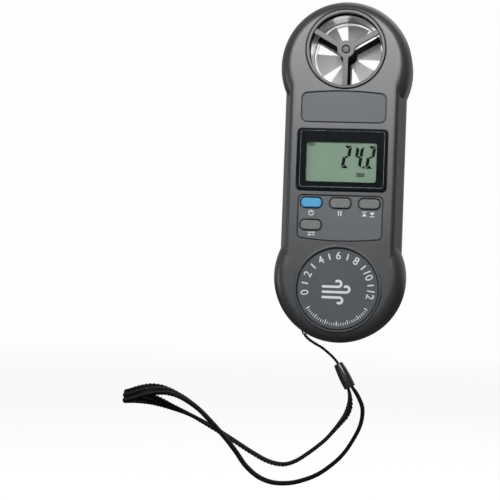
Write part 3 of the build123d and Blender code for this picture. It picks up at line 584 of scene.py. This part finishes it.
MAT["board"] = board_material()
MAT["wire_black"] = wire_material("wire_black_pvc", (0.02, 0.02, 0.021))
MAT["wire_red"] = wire_material("wire_red_pvc", (0.42, 0.03, 0.022))
MAT["elastomer"] = elastomer_material()
MAT["cell"] = cell_material()
MAT["capacitor"] = capacitor_material()
MAT["ferrule"] = ferrule_material()
# light: the colour of the painted highlight on the strands' crests
MAT["strap"] = yarn_material("strap_nylon", filament_mm=0.10, light=(0.075, 0.071, 0.068))
MAT["cord"] = yarn_material("cord_nylon", filament_mm=0.06, light=(0.014, 0.0135, 0.013))
LCD_INK = lcd_ink_material()
WHITE_INK = white_ink_material()

slot_of = {row["node"]: row["material_slot"] for row in frame["record"]["subparts"]}
for name, obj in frame["nodes"].items():
    for material_slot in obj.material_slots:
        material_slot.material = MAT[slot_of[name]]


# ======================================================================= mesh helpers
def new_object(name, verts, faces, material, smooth=True, uvs=None):
    mesh = bpy.data.meshes.new(name)
    mesh.from_pydata([tuple(v) for v in verts], [], [tuple(f) for f in faces])
    if uvs is not None:
        layer = mesh.uv_layers.new(name="UVMap")
        corners = np.zeros(len(mesh.loops), np.int32)
        mesh.loops.foreach_get("vertex_index", corners)
        layer.data.foreach_set("uv", np.asarray(uvs, np.float32)[corners].ravel())
    mesh.validate()
    if smooth:
        mesh.polygons.foreach_set("use_smooth", [True] * len(mesh.polygons))
    mesh.materials.append(material)
    mesh.update()
    made = bpy.data.objects.new(name, mesh)
    scene.collection.objects.link(made)
    return made


def case_part(name, bm, material):
    """Turns a bmesh into an object fixed to the case."""
    bmesh.ops.recalc_face_normals(bm, faces=bm.faces)
    mesh = bpy.data.meshes.new(name)
    bm.to_mesh(mesh)
    bm.free()
    mesh.materials.append(material)
    made = bpy.data.objects.new(name, mesh)
    scene.collection.objects.link(made)
    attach(made, "case")


def plate(name, shapes, y_front, y_back, material):
    """Flat prints. Each shape is an outline [(x, z), ...] or {"outer": ..., "holes": [...]}."""
    bm = bmesh.new()
    for shape in shapes:
        rings = [shape["outer"], *shape["holes"]] if isinstance(shape, dict) else [shape]
        edges = []
        for ring in rings:
            verts = [bm.verts.new((x * MM, y_front * MM, z * MM)) for x, z in ring]
            edges += [bm.edges.new((verts[k], verts[(k + 1) % len(verts)]))
                      for k in range(len(verts))]
        filled = bmesh.ops.triangle_fill(bm, use_beauty=True, use_dissolve=False, edges=edges)
        faces = [f for f in filled["geom"] if isinstance(f, bmesh.types.BMFace)]
        extruded = bmesh.ops.extrude_face_region(bm, geom=faces)
        moved = [v for v in extruded["geom"] if isinstance(v, bmesh.types.BMVert)]
        bmesh.ops.translate(bm, vec=(0, (y_back - y_front) * MM, 0), verts=moved)
    case_part(name, bm, material)


def stroke(points, width):
    """Outline of a line of even width with round ends."""
    half = width / 2
    left, right = [], []
    for k, (x, z) in enumerate(points):
        before, after = points[max(k - 1, 0)], points[min(k + 1, len(points) - 1)]
        along = Vector((after[0] - before[0], after[1] - before[1])).normalized()
        nx, nz = -along.y, along.x
        left.append((x + nx * half, z + nz * half))
        right.append((x - nx * half, z - nz * half))
    return (left + round_end(points[-1], left[-1], half) + right[::-1]
            + round_end(points[0], right[0], half))


def round_end(centre, start, radius, steps=6):
    """Points of a half circle run clockwise from `start`, without its two ends."""
    angle = math.atan2(start[1] - centre[1], start[0] - centre[0])
    return [(centre[0] + radius * math.cos(angle - math.pi * k / steps),
             centre[1] + radius * math.sin(angle - math.pi * k / steps))
            for k in range(1, steps)]


def arc(cx, cz, radius, start, end, steps):
    """Points of an arc between two angles in degrees."""
    angles = [math.radians(start + (end - start) * k / steps) for k in range(steps + 1)]
    return [(cx + radius * math.cos(a), cz + radius * math.sin(a)) for a in angles]


def rectangle(x0, z0, x1, z1):
    return [(x0, z0), (x1, z0), (x1, z1), (x0, z1)]


# ==================================================================== display figures
DIGIT_W, DIGIT_H = 3.25, 10.05
SLANT = 0.137                      # sideways lean per mm of height
DIGITS_Z = 1.3                     # foot of the digits
# segments of a digit and the x of its foot
DIGITS = [("abged", -0.38), ("fgbc", 5.13), ("abged", 10.55)]
# upright outlines (across, up) from the digit's lower left corner
SEGMENT_B = [(3.35, 9.75), (3.35, 5.42), (2.8, 5.06), (1.9, 5.76), (1.9, 8.58)]
SEGMENTS = {
    "a": [(0.05, 10.15), (3.2, 10.15), (1.75, 8.77), (1.4, 8.77)],
    "b": SEGMENT_B,
    "c": [(u, DIGIT_H - v) for u, v in SEGMENT_B],
    "d": [(0.05, -0.1), (3.2, -0.1), (1.75, 1.28), (1.4, 1.28)],
    "e": [(DIGIT_W - u, DIGIT_H - v) for u, v in SEGMENT_B],
    "f": [(DIGIT_W - u, v) for u, v in SEGMENT_B],
    "g": [(0.7, 5.02), (1.25, 5.48), (1.95, 5.48), (2.5, 5.02), (1.95, 4.56), (1.25, 4.56)],
}
DECIMAL_POINT = [(9.2, 1.25), (10.1, 1.25), (10.22, 2.15), (9.32, 2.15)]


def battery_sign():
    """A small cell outline, top left, with its tip and charge bar."""
    return [
        {"outer": rectangle(-15.5, 11.1, -12.9, 12.5),
         "holes": [rectangle(-15.2, 11.4, -13.2, 12.2)]},
        rectangle(-12.86, 11.5, -12.5, 12.1),
        rectangle(-15.0, 11.6, -14.0, 12.0),
    ]


def wave_sign():
    """Three wavy lines under the digits, the middle one set to the right."""
    lines = []
    for k in range(3):
        z = -1.1 - 0.62 * k
        line = [(6.7 + 0.19 * j + 0.2 * (k % 2), z + 0.16 * math.sin(j * math.pi / 4))
                for j in range(19)]
        lines.append(stroke(line, width=0.34))
    return lines


digits = [[(x0 + u + v * SLANT, DIGITS_Z + v) for u, v in SEGMENTS[segment]]
          for segments, x0 in DIGITS for segment in segments]
plate("lcd_figures", digits + [DECIMAL_POINT] + battery_sign() + wave_sign(),
      y_front=-31.66, y_back=-31.59, material=LCD_INK)

# ========================================================================== key signs
THIN_LINE = 0.34


def power_sign(cx, cz):
    """An open ring with a bar."""
    return [stroke(arc(cx, cz - 0.1, 1.05, 125, 415, 26), width=0.36),
            stroke([(cx, cz + 0.15), (cx, cz + 1.25)], width=0.36)]


def hold_sign(cx, cz):
    """Two upright bars."""
    return [stroke([(cx + dx, cz - 0.95), (cx + dx, cz + 0.95)], width=0.5)
            for dx in (-0.55, 0.55)]


def extremes_sign(cx, cz):
    """A triangle up with a bar over it, and a triangle down with a bar under it."""
    shapes = []
    for side, dx in ((1, -1.75), (-1, 1.75)):
        foot, tip, bar = cz - 0.9 * side, cz + 0.55 * side, cz + 1.0 * side
        shapes.append([(cx + dx - 1.1, foot), (cx + dx + 1.1, foot), (cx + dx, tip)])
        shapes.append(stroke([(cx + dx - 0.95, bar), (cx + dx + 0.95, bar)], THIN_LINE))
    return shapes


def unit_sign(cx, cz):
    """Two opposite arrows."""
    shapes = []
    for side in (1, -1):
        z = cz + 0.55 * side
        shapes.append(stroke([(cx - 1.5 * side, z), (cx + 0.75 * side, z)], THIN_LINE))
        shapes.append([(cx + 0.7 * side, cz + 1.15 * side), (cx + 1.75 * side, z),
                       (cx + 0.7 * side, cz - 0.05 * side)])
    return shapes


signs = (power_sign(-13.1, -19.35) + hold_sign(-0.15, -19.4)
         + extremes_sign(12.7, -19.5) + unit_sign(-12.7, -28.85))
plate("key_signs", signs, y_front=-32.955, y_back=-32.90, material=WHITE_INK)

# ====================================================================== disc markings
DISC_Z = -53.4
NUMERAL_SIZE = 5.0
NUMERAL_RADIUS = 15.05
NUMERAL_Y = -32.325                # middle of the print's depth
# numeral, angle in degrees anticlockwise from +X as seen from the front
NUMERALS = [("0", 188), ("2", 155.5), ("4", 122), ("6", 90), ("8", 58), ("10", 24.5), ("12", -9)]
TICK_START, TICK_END, TICK_STEPS = 214, 326, 30
WIND_CENTRE = (-0.6, -54.6)
WIND_START_X = -6.0
# x where the straight part ends, its z, curl radius, curl up (1) or down (-1), end angle
WIND_LINES = [(0.9, 2.1, 1.35, 1, 130), (4.6, -0.3, 1.35, 1, 120), (1.6, -2.7, 1.3, -1, 120)]


def round_disc(x, z, radius, angle):
    """Carries a point drawn upright about (0, 0) out to a place round the disc, top outward."""
    turn = math.radians(angle) - math.pi / 2
    c, s = math.cos(turn), math.sin(turn)
    z += radius
    return x * c - z * s, x * s + z * c + DISC_Z


def numeral_mesh(text):
    """Numeral from the built-in font, in mm, lying in its own XY plane."""
    curve = bpy.data.curves.new("numeral", "FONT")
    curve.body = text
    curve.size = NUMERAL_SIZE
    curve.align_x = "CENTER"
    curve.align_y = "CENTER"
    curve.extrude = 0.03
    curve.offset = 0.004 * NUMERAL_SIZE
    curve.resolution_u = 6
    holder = bpy.data.objects.new("numeral", curve)
    scene.collection.objects.link(holder)
    bpy.context.view_layer.update()
    depsgraph = bpy.context.evaluated_depsgraph_get()
    mesh = bpy.data.meshes.new_from_object(holder.evaluated_get(depsgraph))
    bpy.data.objects.remove(holder)
    bpy.data.curves.remove(curve)
    return mesh


def disc_numerals():
    bm = bmesh.new()
    for text, angle in NUMERALS:
        mesh = numeral_mesh(text)
        start = len(bm.verts)
        bm.from_mesh(mesh)
        bpy.data.meshes.remove(mesh)
        bm.verts.ensure_lookup_table()
        added = bm.verts[start:]
        xs = [v.co.x for v in added]
        ys = [v.co.y for v in added]
        mid_x, mid_y = (min(xs) + max(xs)) / 2, (min(ys) + max(ys)) / 2
        for v in added:
            x, z = round_disc(v.co.x - mid_x, v.co.y - mid_y, NUMERAL_RADIUS, angle)
            v.co = Vector((x * MM, (NUMERAL_Y - v.co.z) * MM, z * MM))
    bmesh.ops.remove_doubles(bm, verts=bm.verts, dist=1e-7)
    case_part("disc_numerals", bm, WHITE_INK)


def radial_bar(inner, outer, width, radius, angle):
    bar = stroke([(0, inner), (0, outer)], width)
    return [round_disc(x, z, radius, angle) for x, z in bar]


def disc_marks():
    """Bars between the numerals, ticks along the bottom and a wind sign in the middle."""
    marks = []
    for (_, angle), (_, following) in zip(NUMERALS, NUMERALS[1:]):
        marks.append(radial_bar(-1.2, 1.2, 0.62, 15.0, (angle + following) / 2))
    for k in range(TICK_STEPS + 1):
        angle = TICK_START + k * (TICK_END - TICK_START) / TICK_STEPS
        inner, width = (-1.0, 0.42) if k % 5 == 0 else (-0.35, 0.30)
        marks.append(radial_bar(inner, 0.65, width, 15.9, angle))
    cx, cz = WIND_CENTRE
    for end_x, z, radius, bend, end_angle in WIND_LINES:
        curl = arc(end_x, z + bend * radius, radius, -90 * bend, end_angle * bend, 14)
        line = [(WIND_START_X, z), (end_x, z)] + curl[1:]
        marks.append(stroke([(x + cx, z + cz) for x, z in line], width=1.1))
    plate("disc_marks", marks, y_front=-32.355, y_back=-32.30, material=WHITE_INK)


disc_numerals()
disc_marks()

# ============================================================================ lanyard
CORD_Y = -8.4
PIN_X, PIN_Z, PIN_R = -16.3, -68.9, 0.8
FERRULE_TOP = (-0.24, -87.98)      # x, z
FERRULE_END = (5.74, -98.87)
CORD_SPREAD = 0.42                 # of each half from the twist's axis
PLY_RADIUS, PLY_OFFSET, PLY_PITCH = 0.20, 0.175, 1.55
BRAID_CARRIERS = 10                # strands each way round
BRAID_PITCH = 17.0
# x, z, distance of each half from the axis: from the ferrule up to the pin
CORD_LINE = [
    (-0.45, -87.60, 0.42), (-3.1, -84.75, 0.42), (-7.6, -81.15, 0.42), (-11.9, -78.75, 0.43),
    (-14.9, -76.7, 0.46), (-16.5, -74.6, 0.55), (-16.95, -72.6, 0.78), (-16.62, -70.7, 1.12),
]
# centre x, y, z; direction of the width x, y, z; width, thickness
STRAP = [
    (5.0, -8.4, -95.9, 0, 1, 0, 2.7, 1.4), (6.57, -8.4, -98.44, 0, 1, 0, 2.8, 1.5),
    (8.6, -9.0, -101.0, 0, 1, 0, 4.6, 1.8), (10.5, -10.4, -104.1, 0, 1, 0, 5.8, 1.9),
    (12.0, -12.0, -107.8, 0, 1, 0, 6.5, 1.9), (12.1, -14.0, -112.3, 0, 1, 0, 6.5, 1.9),
    (11.0, -16.0, -117.0, 0, 1, 0, 6.5, 1.9), (8.5, -18.0, -122.2, 0, 1, 0, 6.5, 1.9),
    (5.2, -19.5, -127.5, 0, 1, 0, 6.5, 1.9), (0.8, -20.5, -132.4, 0, 1, 0, 6.5, 1.9),
    (-6.7, -21.0, -138.2, 0, 1, 0, 6.5, 1.9), (-14.8, -21.0, -141.7, 0, 1, 0, 6.5, 1.9),
    (-21.7, -21.0, -143.1, 0, 1, 0, 6.5, 1.9), (-28.6, -21.0, -142.8, 0, 1, 0, 6.5, 1.9),
    (-34.7, -21.0, -140.4, 0, 1, 0, 6.5, 1.9), (-40.3, -21.0, -135.8, 0, 1, 0, 6.5, 1.9),
    (-44.9, -21.0, -129.8, 0, 1, 0, 6.5, 1.9), (-49.8, -21.0, -124.0, 0, 1, 0, 6.5, 1.9),
    (-56.1, -21.0, -117.5, 0, 1, 0, 6.5, 1.9), (-62.4, -21.0, -111.6, 0, 1, 0, 6.5, 1.9),
    (-68.2, -21.0, -107.5, 0, 1, 0.1, 6.5, 1.9), (-73.9, -21.0, -104.7, 0, 1, 0.25, 6.5, 1.9),
    (-79.6, -21.2, -103.2, 0, 0.8, 0.6, 6.5, 1.9), (-85.2, -21.5, -103.2, 0, 0.35, 0.9, 6.6, 1.9),
    (-90.4, -21.3, -104.4, 0.1, 0.1, 1, 6.7, 1.9), (-95.4, -19.8, -106.2, 0.08, 0, 1, 6.8, 1.9),
    (-99.2, -15.6, -107.4, 0.05, 0, 1, 6.8, 1.9), (-99.0, -10.8, -107.8, 0, 0, 1, 6.8, 1.9),
    (-95.0, -8.3, -107.9, 0, -0.1, 1, 6.7, 1.9), (-88.0, -8.0, -108.6, 0, -0.4, 0.9, 6.6, 1.9),
    (-80.0, -8.0, -110.9, 0, -0.8, 0.6, 6.5, 1.9), (-70.0, -8.2, -114.6, 0, -1, 0.2, 6.5, 1.9),
    (-60.0, -8.4, -119.4, 0, -1, 0, 6.5, 1.9), (-50.0, -8.5, -124.8, 0, -1, 0, 6.5, 1.9),
    (-40.0, -8.6, -130.6, 0, -1, 0, 6.5, 1.9), (-31.5, -8.6, -134.8, 0, -1, 0, 6.5, 1.9),
    (-24.2, -8.6, -136.0, 0, -1, 0, 6.5, 1.9), (-18.7, -8.6, -134.3, 0, -1, 0, 6.5, 1.9),
    (-14.1, -8.6, -131.3, 0, -1, 0, 6.5, 1.9), (-9.5, -8.6, -127.7, 0, -1, 0, 6.5, 1.9),
    (-5.0, -8.6, -123.7, 0, -1, 0.05, 6.5, 1.9), (-1.4, -8.6, -119.6, 0.1, -1, 0.05, 6.5, 1.9),
    (1.7, -8.6, -115.6, 0.25, -1, 0.05, 6.5, 1.9), (4.2, -8.6, -111.9, 0.45, -1, 0.05, 6.4, 1.9),
    (5.7, -8.6, -107.9, 0.5, -1, 0.05, 6.0, 1.9), (6.0, -8.5, -103.7, 0.3, -1, 0.05, 4.8, 1.8),
    (4.91, -8.4, -99.36, 0, -1, 0, 2.8, 1.5), (3.5, -8.4, -96.7, 0, -1, 0, 2.7, 1.4),
]


def catmull(rows, steps):
    """Catmull-Rom curve through the rows, every column alike."""
    rows = [np.array(row, float) for row in rows]
    out = []
    last = len(rows) - 1
    for k in range(last):
        p0, p1, p2, p3 = rows[max(k - 1, 0)], rows[k], rows[k + 1], rows[min(k + 2, last)]
        for j in range(steps):
            t = j / steps
            out.append(0.5 * (2 * p1 + (p2 - p0) * t + (2 * p0 - 5 * p1 + 4 * p2 - p3) * t * t
                              + (3 * p1 - p0 - 3 * p2 + p3) * t ** 3))
    out.append(rows[-1])
    return np.array(out)


def resample(rows, step_mm):
    """Rows at even spacing along the line through their first three columns, and distances."""
    lengths = np.linalg.norm(np.diff(rows[:, :3], axis=0), axis=1)
    reached = np.concatenate([[0], np.cumsum(lengths)])
    count = int(round(reached[-1] / step_mm)) + 1
    at = np.linspace(0, reached[-1], count)
    columns = [np.interp(at, reached, rows[:, k]) for k in range(rows.shape[1])]
    return np.stack(columns, axis=1), at


def smooth_rows(rows, window):
    """Moving average down each column; the first and last rows stay put."""
    kernel = np.ones(window) / window
    pad = window // 2
    out = np.empty_like(rows)
    for k in range(rows.shape[1]):
        column = rows[:, k]
        padded = np.concatenate([np.full(pad, column[0]), column, np.full(pad, column[-1])])
        out[:, k] = np.convolve(padded, kernel, "valid")[: len(rows)]
    out[0], out[-1] = rows[0], rows[-1]
    return out


def unit(v):
    return v / np.maximum(np.linalg.norm(v, axis=-1, keepdims=True), 1e-12)


def directions(points):
    return unit(np.gradient(points, axis=0))


def squared(v, along):
    """Unit vectors: the part of v square to `along`."""
    return unit(v - along * np.sum(v * along, axis=1, keepdims=True))


def tube_faces(base, count, sides):
    """Faces of a closed tube of `count` rings whose vertices start at `base`."""
    k = np.arange(count - 1)[:, None] * sides
    j = np.arange(sides)[None, :]
    j2 = (j + 1) % sides
    corners = [base + k + j, base + k + j2, base + k + sides + j2, base + k + sides + j]
    faces = np.stack(corners, axis=-1).reshape(-1, 4).tolist()
    faces.append([base + q for q in reversed(range(sides))])
    faces.append([base + (count - 1) * sides + q for q in range(sides)])
    return faces


def swept_object(name, verts_mm, faces, material, uvs):
    made = new_object(name, verts_mm * MM, faces, material, uvs=uvs)
    bm = bmesh.new()
    bm.from_mesh(made.data)
    bmesh.ops.recalc_face_normals(bm, faces=bm.faces)
    bm.to_mesh(made.data)
    bm.free()
    return made


def tubes(name, paths, material, sides):
    """Closed tubes of elliptical section, in one object.

    Each path holds arrays: centres, across and outward directions, half width, half thickness,
    distance and crest (0 to 1, how much it rides over its neighbours). UV u runs round the
    tube and v along it.
    """
    verts, faces, uvs, crests = [], [], [], []
    base = 0
    angles = np.arange(sides) / sides * 2 * math.pi
    cosines, sines = np.cos(angles), np.sin(angles)
    for centre, across, out, half_width, half_thick, dist, crest in paths:
        count = len(centre)
        crests.append(np.repeat(crest, sides))
        rings = (centre[:, None, :]
                 + across[:, None, :] * (cosines[None, :, None] * half_width[:, None, None])
                 + out[:, None, :] * (sines[None, :, None] * half_thick[:, None, None]))
        verts.append(rings.reshape(-1, 3))
        u = np.tile(np.arange(sides) / sides, count)
        uvs.append(np.stack([u, np.repeat(dist, sides)], axis=1))
        faces += tube_faces(base, count, sides)
        base += count * sides
    made = swept_object(name, np.concatenate(verts), faces, material, np.concatenate(uvs))
    layer = made.data.attributes.new("crest", "FLOAT", "POINT")
    layer.data.foreach_set("value", np.concatenate(crests).astype(np.float32))
    return made


def stadium(share, a, b):
    """Outline of a flattened tube of half width a and half thickness b.

    Runs along the front, right end, back and left end. Gives the point and outward normal at
    a share of the length, and the length.
    """
    flat = a - b
    straight = 2 * flat
    half_turn = math.pi * b
    total = 2 * straight + 2 * half_turn
    d = np.mod(share, 1.0) * total
    right = (d - straight) / b
    back = d - straight - half_turn
    left = (d - 2 * straight - half_turn) / b
    part = [d < straight, d < straight + half_turn, d < 2 * straight + half_turn]
    nx = np.select(part, [0.0, np.sin(right), 0.0], -np.sin(left))
    ny = np.select(part, [1.0, np.cos(right), -1.0], -np.cos(left))
    middle = np.select(part, [-flat + d, flat, flat - back], -flat)
    return middle + b * nx, b * ny, nx, ny, total


def strap_frame(step_mm, window):
    """Along the strap: centre, width and outward directions, width, thickness, distance."""
    rows, dist = resample(catmull(STRAP, 12), step_mm)
    rows[:, 3:6] = smooth_rows(rows[:, 3:6], window)
    centre = rows[:, :3]
    tangent = directions(centre)
    wide = squared(rows[:, 3:6], tangent)
    return centre, wide, np.cross(tangent, wide), rows[:, 6], rows[:, 7], dist


def braided_strap():
    centre, wide, out, width, thickness, dist = strap_frame(step_mm=0.52, window=15)
    strand = 0.30 * thickness         # full thickness of a strand
    lift = 0.14 * thickness           # half the rise as a strand goes over and under
    a = width / 2 - strand / 2 - lift
    b = thickness / 2 - strand / 2 - lift
    crossings = 2 * dist * BRAID_CARRIERS / BRAID_PITCH
    rng = np.random.RandomState(7)
    paths = []
    for turn in (1, -1):
        for i in range(BRAID_CARRIERS):
            share = i / BRAID_CARRIERS + turn * dist / BRAID_PITCH
            x, y, nx, ny, total = stadium(share, a, b)
            # two over, two under: ribs run along the strap
            phase = 2 * i if turn > 0 else 2 * i + 2
            ride = np.cos((crossings * turn + phase - 0.5) * math.pi / 2)
            off = lift * np.clip(1.35 * ride, -1, 1) * turn
            jitter = 1 + 0.05 * np.sin(dist * (0.9 + 0.07 * i) + rng.rand() * 6)
            point = centre + wide * (x + nx * off)[:, None] + out * (y + ny * off)[:, None]
            along = directions(point)
            normal = squared(unit(wide * nx[:, None] + out * ny[:, None]), along)
            half_width = 0.5 * total / BRAID_CARRIERS * 0.72 * jitter * 0.98
            paths.append((point, np.cross(along, normal), normal, half_width,
                          strand / 2 * jitter, dist, 0.5 + 0.5 * ride * turn))
    made = tubes("strap_braid", paths, MAT["strap"], sides=6)
    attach(made, "strap")
    return made


def strap_core():
    """The filling inside the flat braid, coloured with the strands' painted shade since it has no
    crest, so no light shows through.
    """
    centre, wide, out, width, thickness, dist = strap_frame(step_mm=1.0, window=9)
    a = width / 2 - 0.26 * thickness
    b = 0.24 * thickness
    sides = 24
    verts, uvs = [], []
    for j in range(sides):
        share = np.full(len(dist), j / sides)
        x, y, *_ = stadium(share, a, b)
        verts.append(centre + wide * x[:, None] + out * y[:, None])
        uvs.append(np.stack([share, dist], axis=1))
    made = swept_object("strap_core", np.stack(verts, axis=1).reshape(-1, 3),
                        tube_faces(0, len(dist), sides), MAT["strap"],
                        np.stack(uvs, axis=1).reshape(-1, 2))
    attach(made, "strap")


def cord_path(down):
    """Centre line of the cord: up one half, round the pin and down the other half."""
    inside = [(FERRULE_TOP[0] + down[0] * q, FERRULE_TOP[1] + down[1] * q, CORD_SPREAD)
              for q in (3.2, 1.6, 0.4)]
    rows = catmull([(x, CORD_Y, z, spread) for x, z, spread in inside + CORD_LINE], 10)
    rows, dist = resample(rows, 0.12)
    axis, spread = rows[:, :3], rows[:, 3]
    depth = np.array([0.0, 1.0, 0.0])
    side = unit(np.cross(directions(axis), depth))
    # three turns in each 7.2 mm, ending 4 mm before the pin, where the halves part
    turn = 2 * math.pi * 3.0 * np.clip((dist[-1] - 4.0 - dist) / 7.2, 0, None)
    first, second = (axis + side * (sign * spread * np.cos(turn))[:, None]
                     + depth * (sign * spread * np.sin(turn))[:, None] for sign in (1, -1))
    loop_radius = PIN_R + 0.1 + 0.38  # pin, gap and half the cord
    loop = np.array([(x, CORD_Y, z)
                     for x, z in arc(PIN_X, PIN_Z, loop_radius, -8, 188, 24)])
    if np.linalg.norm(first[-1] - loop[0]) > np.linalg.norm(second[-1] - loop[0]):
        first, second = second, first
    path, dist = resample(np.concatenate([first[:-4], loop[1:-1], second[::-1][4:]]), 0.12)
    return smooth_rows(path, 7), dist


def twisted_cord():
    """Thin cord doubled round the pin: its halves twist together, each laid from three plies."""
    down = np.array([FERRULE_END[0] - FERRULE_TOP[0], FERRULE_END[1] - FERRULE_TOP[1]])
    down = down / np.linalg.norm(down)
    path, dist = cord_path(down)
    tangent = directions(path)
    e1 = squared(np.tile(np.array([0.0, 1.0, 0.0]), (len(path), 1)), tangent)
    e2 = np.cross(tangent, e1)
    radius = np.full(len(dist), PLY_RADIUS)
    paths = []
    for ply in range(3):
        angle = 2 * math.pi * (dist / PLY_PITCH + ply / 3)
        normal = e1 * np.cos(angle)[:, None] + e2 * np.sin(angle)[:, None]
        point = path + normal * PLY_OFFSET
        along = directions(point)
        normal = squared(normal, along)
        paths.append((point, np.cross(along, normal), normal, radius, radius, dist,
                      np.ones(len(dist))))
    made = tubes("cord_twist", paths, MAT["cord"], sides=8)
    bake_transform(made)
    return made


braid = braided_strap()
strap_core()
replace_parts(braid, "wrist_strap")
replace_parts(twisted_cord(), "lanyard_cord")


# ================================================================= studio (in metres)
def area(name, where, target, size, power, color=(1, 1, 1)):
    """Rectangular light, hidden from the camera; size is width and height."""
    light = bpy.data.lights.new(name, "AREA")
    light.shape = "RECTANGLE"
    light.size, light.size_y = size
    light.energy = power
    light.color = color
    light.spread = math.pi
    lamp = bpy.data.objects.new(name, light)
    lamp.location = where
    aim = Vector(target) - Vector(where)
    lamp.rotation_euler = aim.to_track_quat("-Z", "Y").to_euler()
    lamp.visible_camera = False
    scene.collection.objects.link(lamp)


area("key", where=(-0.04, -0.46, 0.225), target=(-0.04, 0.0, 0.205),
     size=(0.56, 0.27), power=3.1, color=(0.975, 0.99, 1.0))
area("left_fill", where=(-0.95, -0.10, -0.16), target=(0, -0.02, -0.06),
     size=(0.30, 0.30), power=1.0)
area("front_low", where=(-0.25, -0.70, -0.33), target=(0, -0.01, -0.094),
     size=(0.44, 0.44), power=0.62)
area("duct_card", where=(-0.003, 0.06, 0.060), target=(-0.003, 0.0, 0.060),
     size=(0.055, 0.065), power=0.021)
area("back_high", where=(0.30, 0.62, 0.80), target=(0, 0.0, 0.0),
     size=(0.90, 0.90), power=2.4)


def world():
    """Near white to the camera; as a light, dim and brighter from above and behind."""
    g = Graph("studio", bpy.data.worlds, "OutputWorld")
    _, y, z = g.xyz(g.node("TexCoord").outputs["Generated"])
    above = g.remap(z, to=(0.03, 0.16), over=(-0.6, 0.9))
    behind = g.remap(y, to=(0.0, 0.35), over=(-0.1, 0.9))
    lit = g.shader("Background", Color=grey(1.0), Strength=g.add(above, behind))
    seen = g.shader("Background", Color=grey(0.985))
    camera_ray = g.node("LightPath").outputs["Is Camera Ray"]
    return g.finish(g.mix_shader(camera_ray, lit, seen))


scene.world = world()


def floor_material():
    """Pale floor that fades to the background far out, and reflects little onto the product."""
    g = Graph("floor_pale")
    grain = g.noise(size_mm=6.0, roughness=0.5)
    glow = g.shader("Emission", Color=g.tint(grey(0.80), grey(0.81), by=grain))
    x, y, _ = g.xyz()
    far = g.remap(g.length(x, y), over=(0.9, 3.2))
    near = g.node("AddShader")
    g.link(glow, near.inputs[0])
    g.link(g.shader("BsdfDiffuse", Color=grey(0.42)), near.inputs[1])
    white = g.shader("Emission", Color=grey(0.985))
    seen = g.mix_shader(far, near.outputs[0], white)
    dim = g.shader("BsdfDiffuse", Color=grey(0.14))
    camera_ray = g.node("LightPath").outputs["Is Camera Ray"]
    return g.finish(g.mix_shader(camera_ray, dim, seen))


def floor():
    sides, radius, z = 64, 6.0, -0.20
    angles = [2 * math.pi * k / sides for k in range(sides)]
    verts = [(radius * math.cos(a), radius * math.sin(a), z) for a in angles]
    new_object("floor", verts, [list(range(sides))], floor_material(), smooth=False)


floor()

# ============================================================================= camera
CAMERA_TARGET_MM = (-42.512, -16.0, -36.729)
CAMERA_DISTANCE = 0.7
AZIMUTH, ELEVATION, ROLL = (math.radians(a) for a in (7.497, -1.683, 2.126))


def add_camera():
    lens = bpy.data.cameras.new("camera")
    lens.sensor_fit = "HORIZONTAL"
    lens.sensor_width = 36.0
    lens.lens = 108.32
    lens.clip_start = 0.01
    lens.clip_end = 50
    camera = bpy.data.objects.new("camera", lens)
    scene.collection.objects.link(camera)
    towards = Vector((math.sin(AZIMUTH) * math.cos(ELEVATION),
                      -math.cos(AZIMUTH) * math.cos(ELEVATION), math.sin(ELEVATION)))
    place = Vector(CAMERA_TARGET_MM) * MM + towards * CAMERA_DISTANCE
    look = -towards
    right = look.cross(Vector((0, 0, 1))).normalized()
    up = right.cross(look)
    x_axis = right * math.cos(ROLL) + up * math.sin(ROLL)
    y_axis = -right * math.sin(ROLL) + up * math.cos(ROLL)
    columns = (x_axis, y_axis, towards, place)
    camera.matrix_world = Matrix((*zip(*columns), (0, 0, 0, 1)))
    scene.camera = camera


add_camera()
scene.view_settings.view_transform = "Standard"
scene.view_settings.look = "None"
scene.view_settings.exposure = 0.0
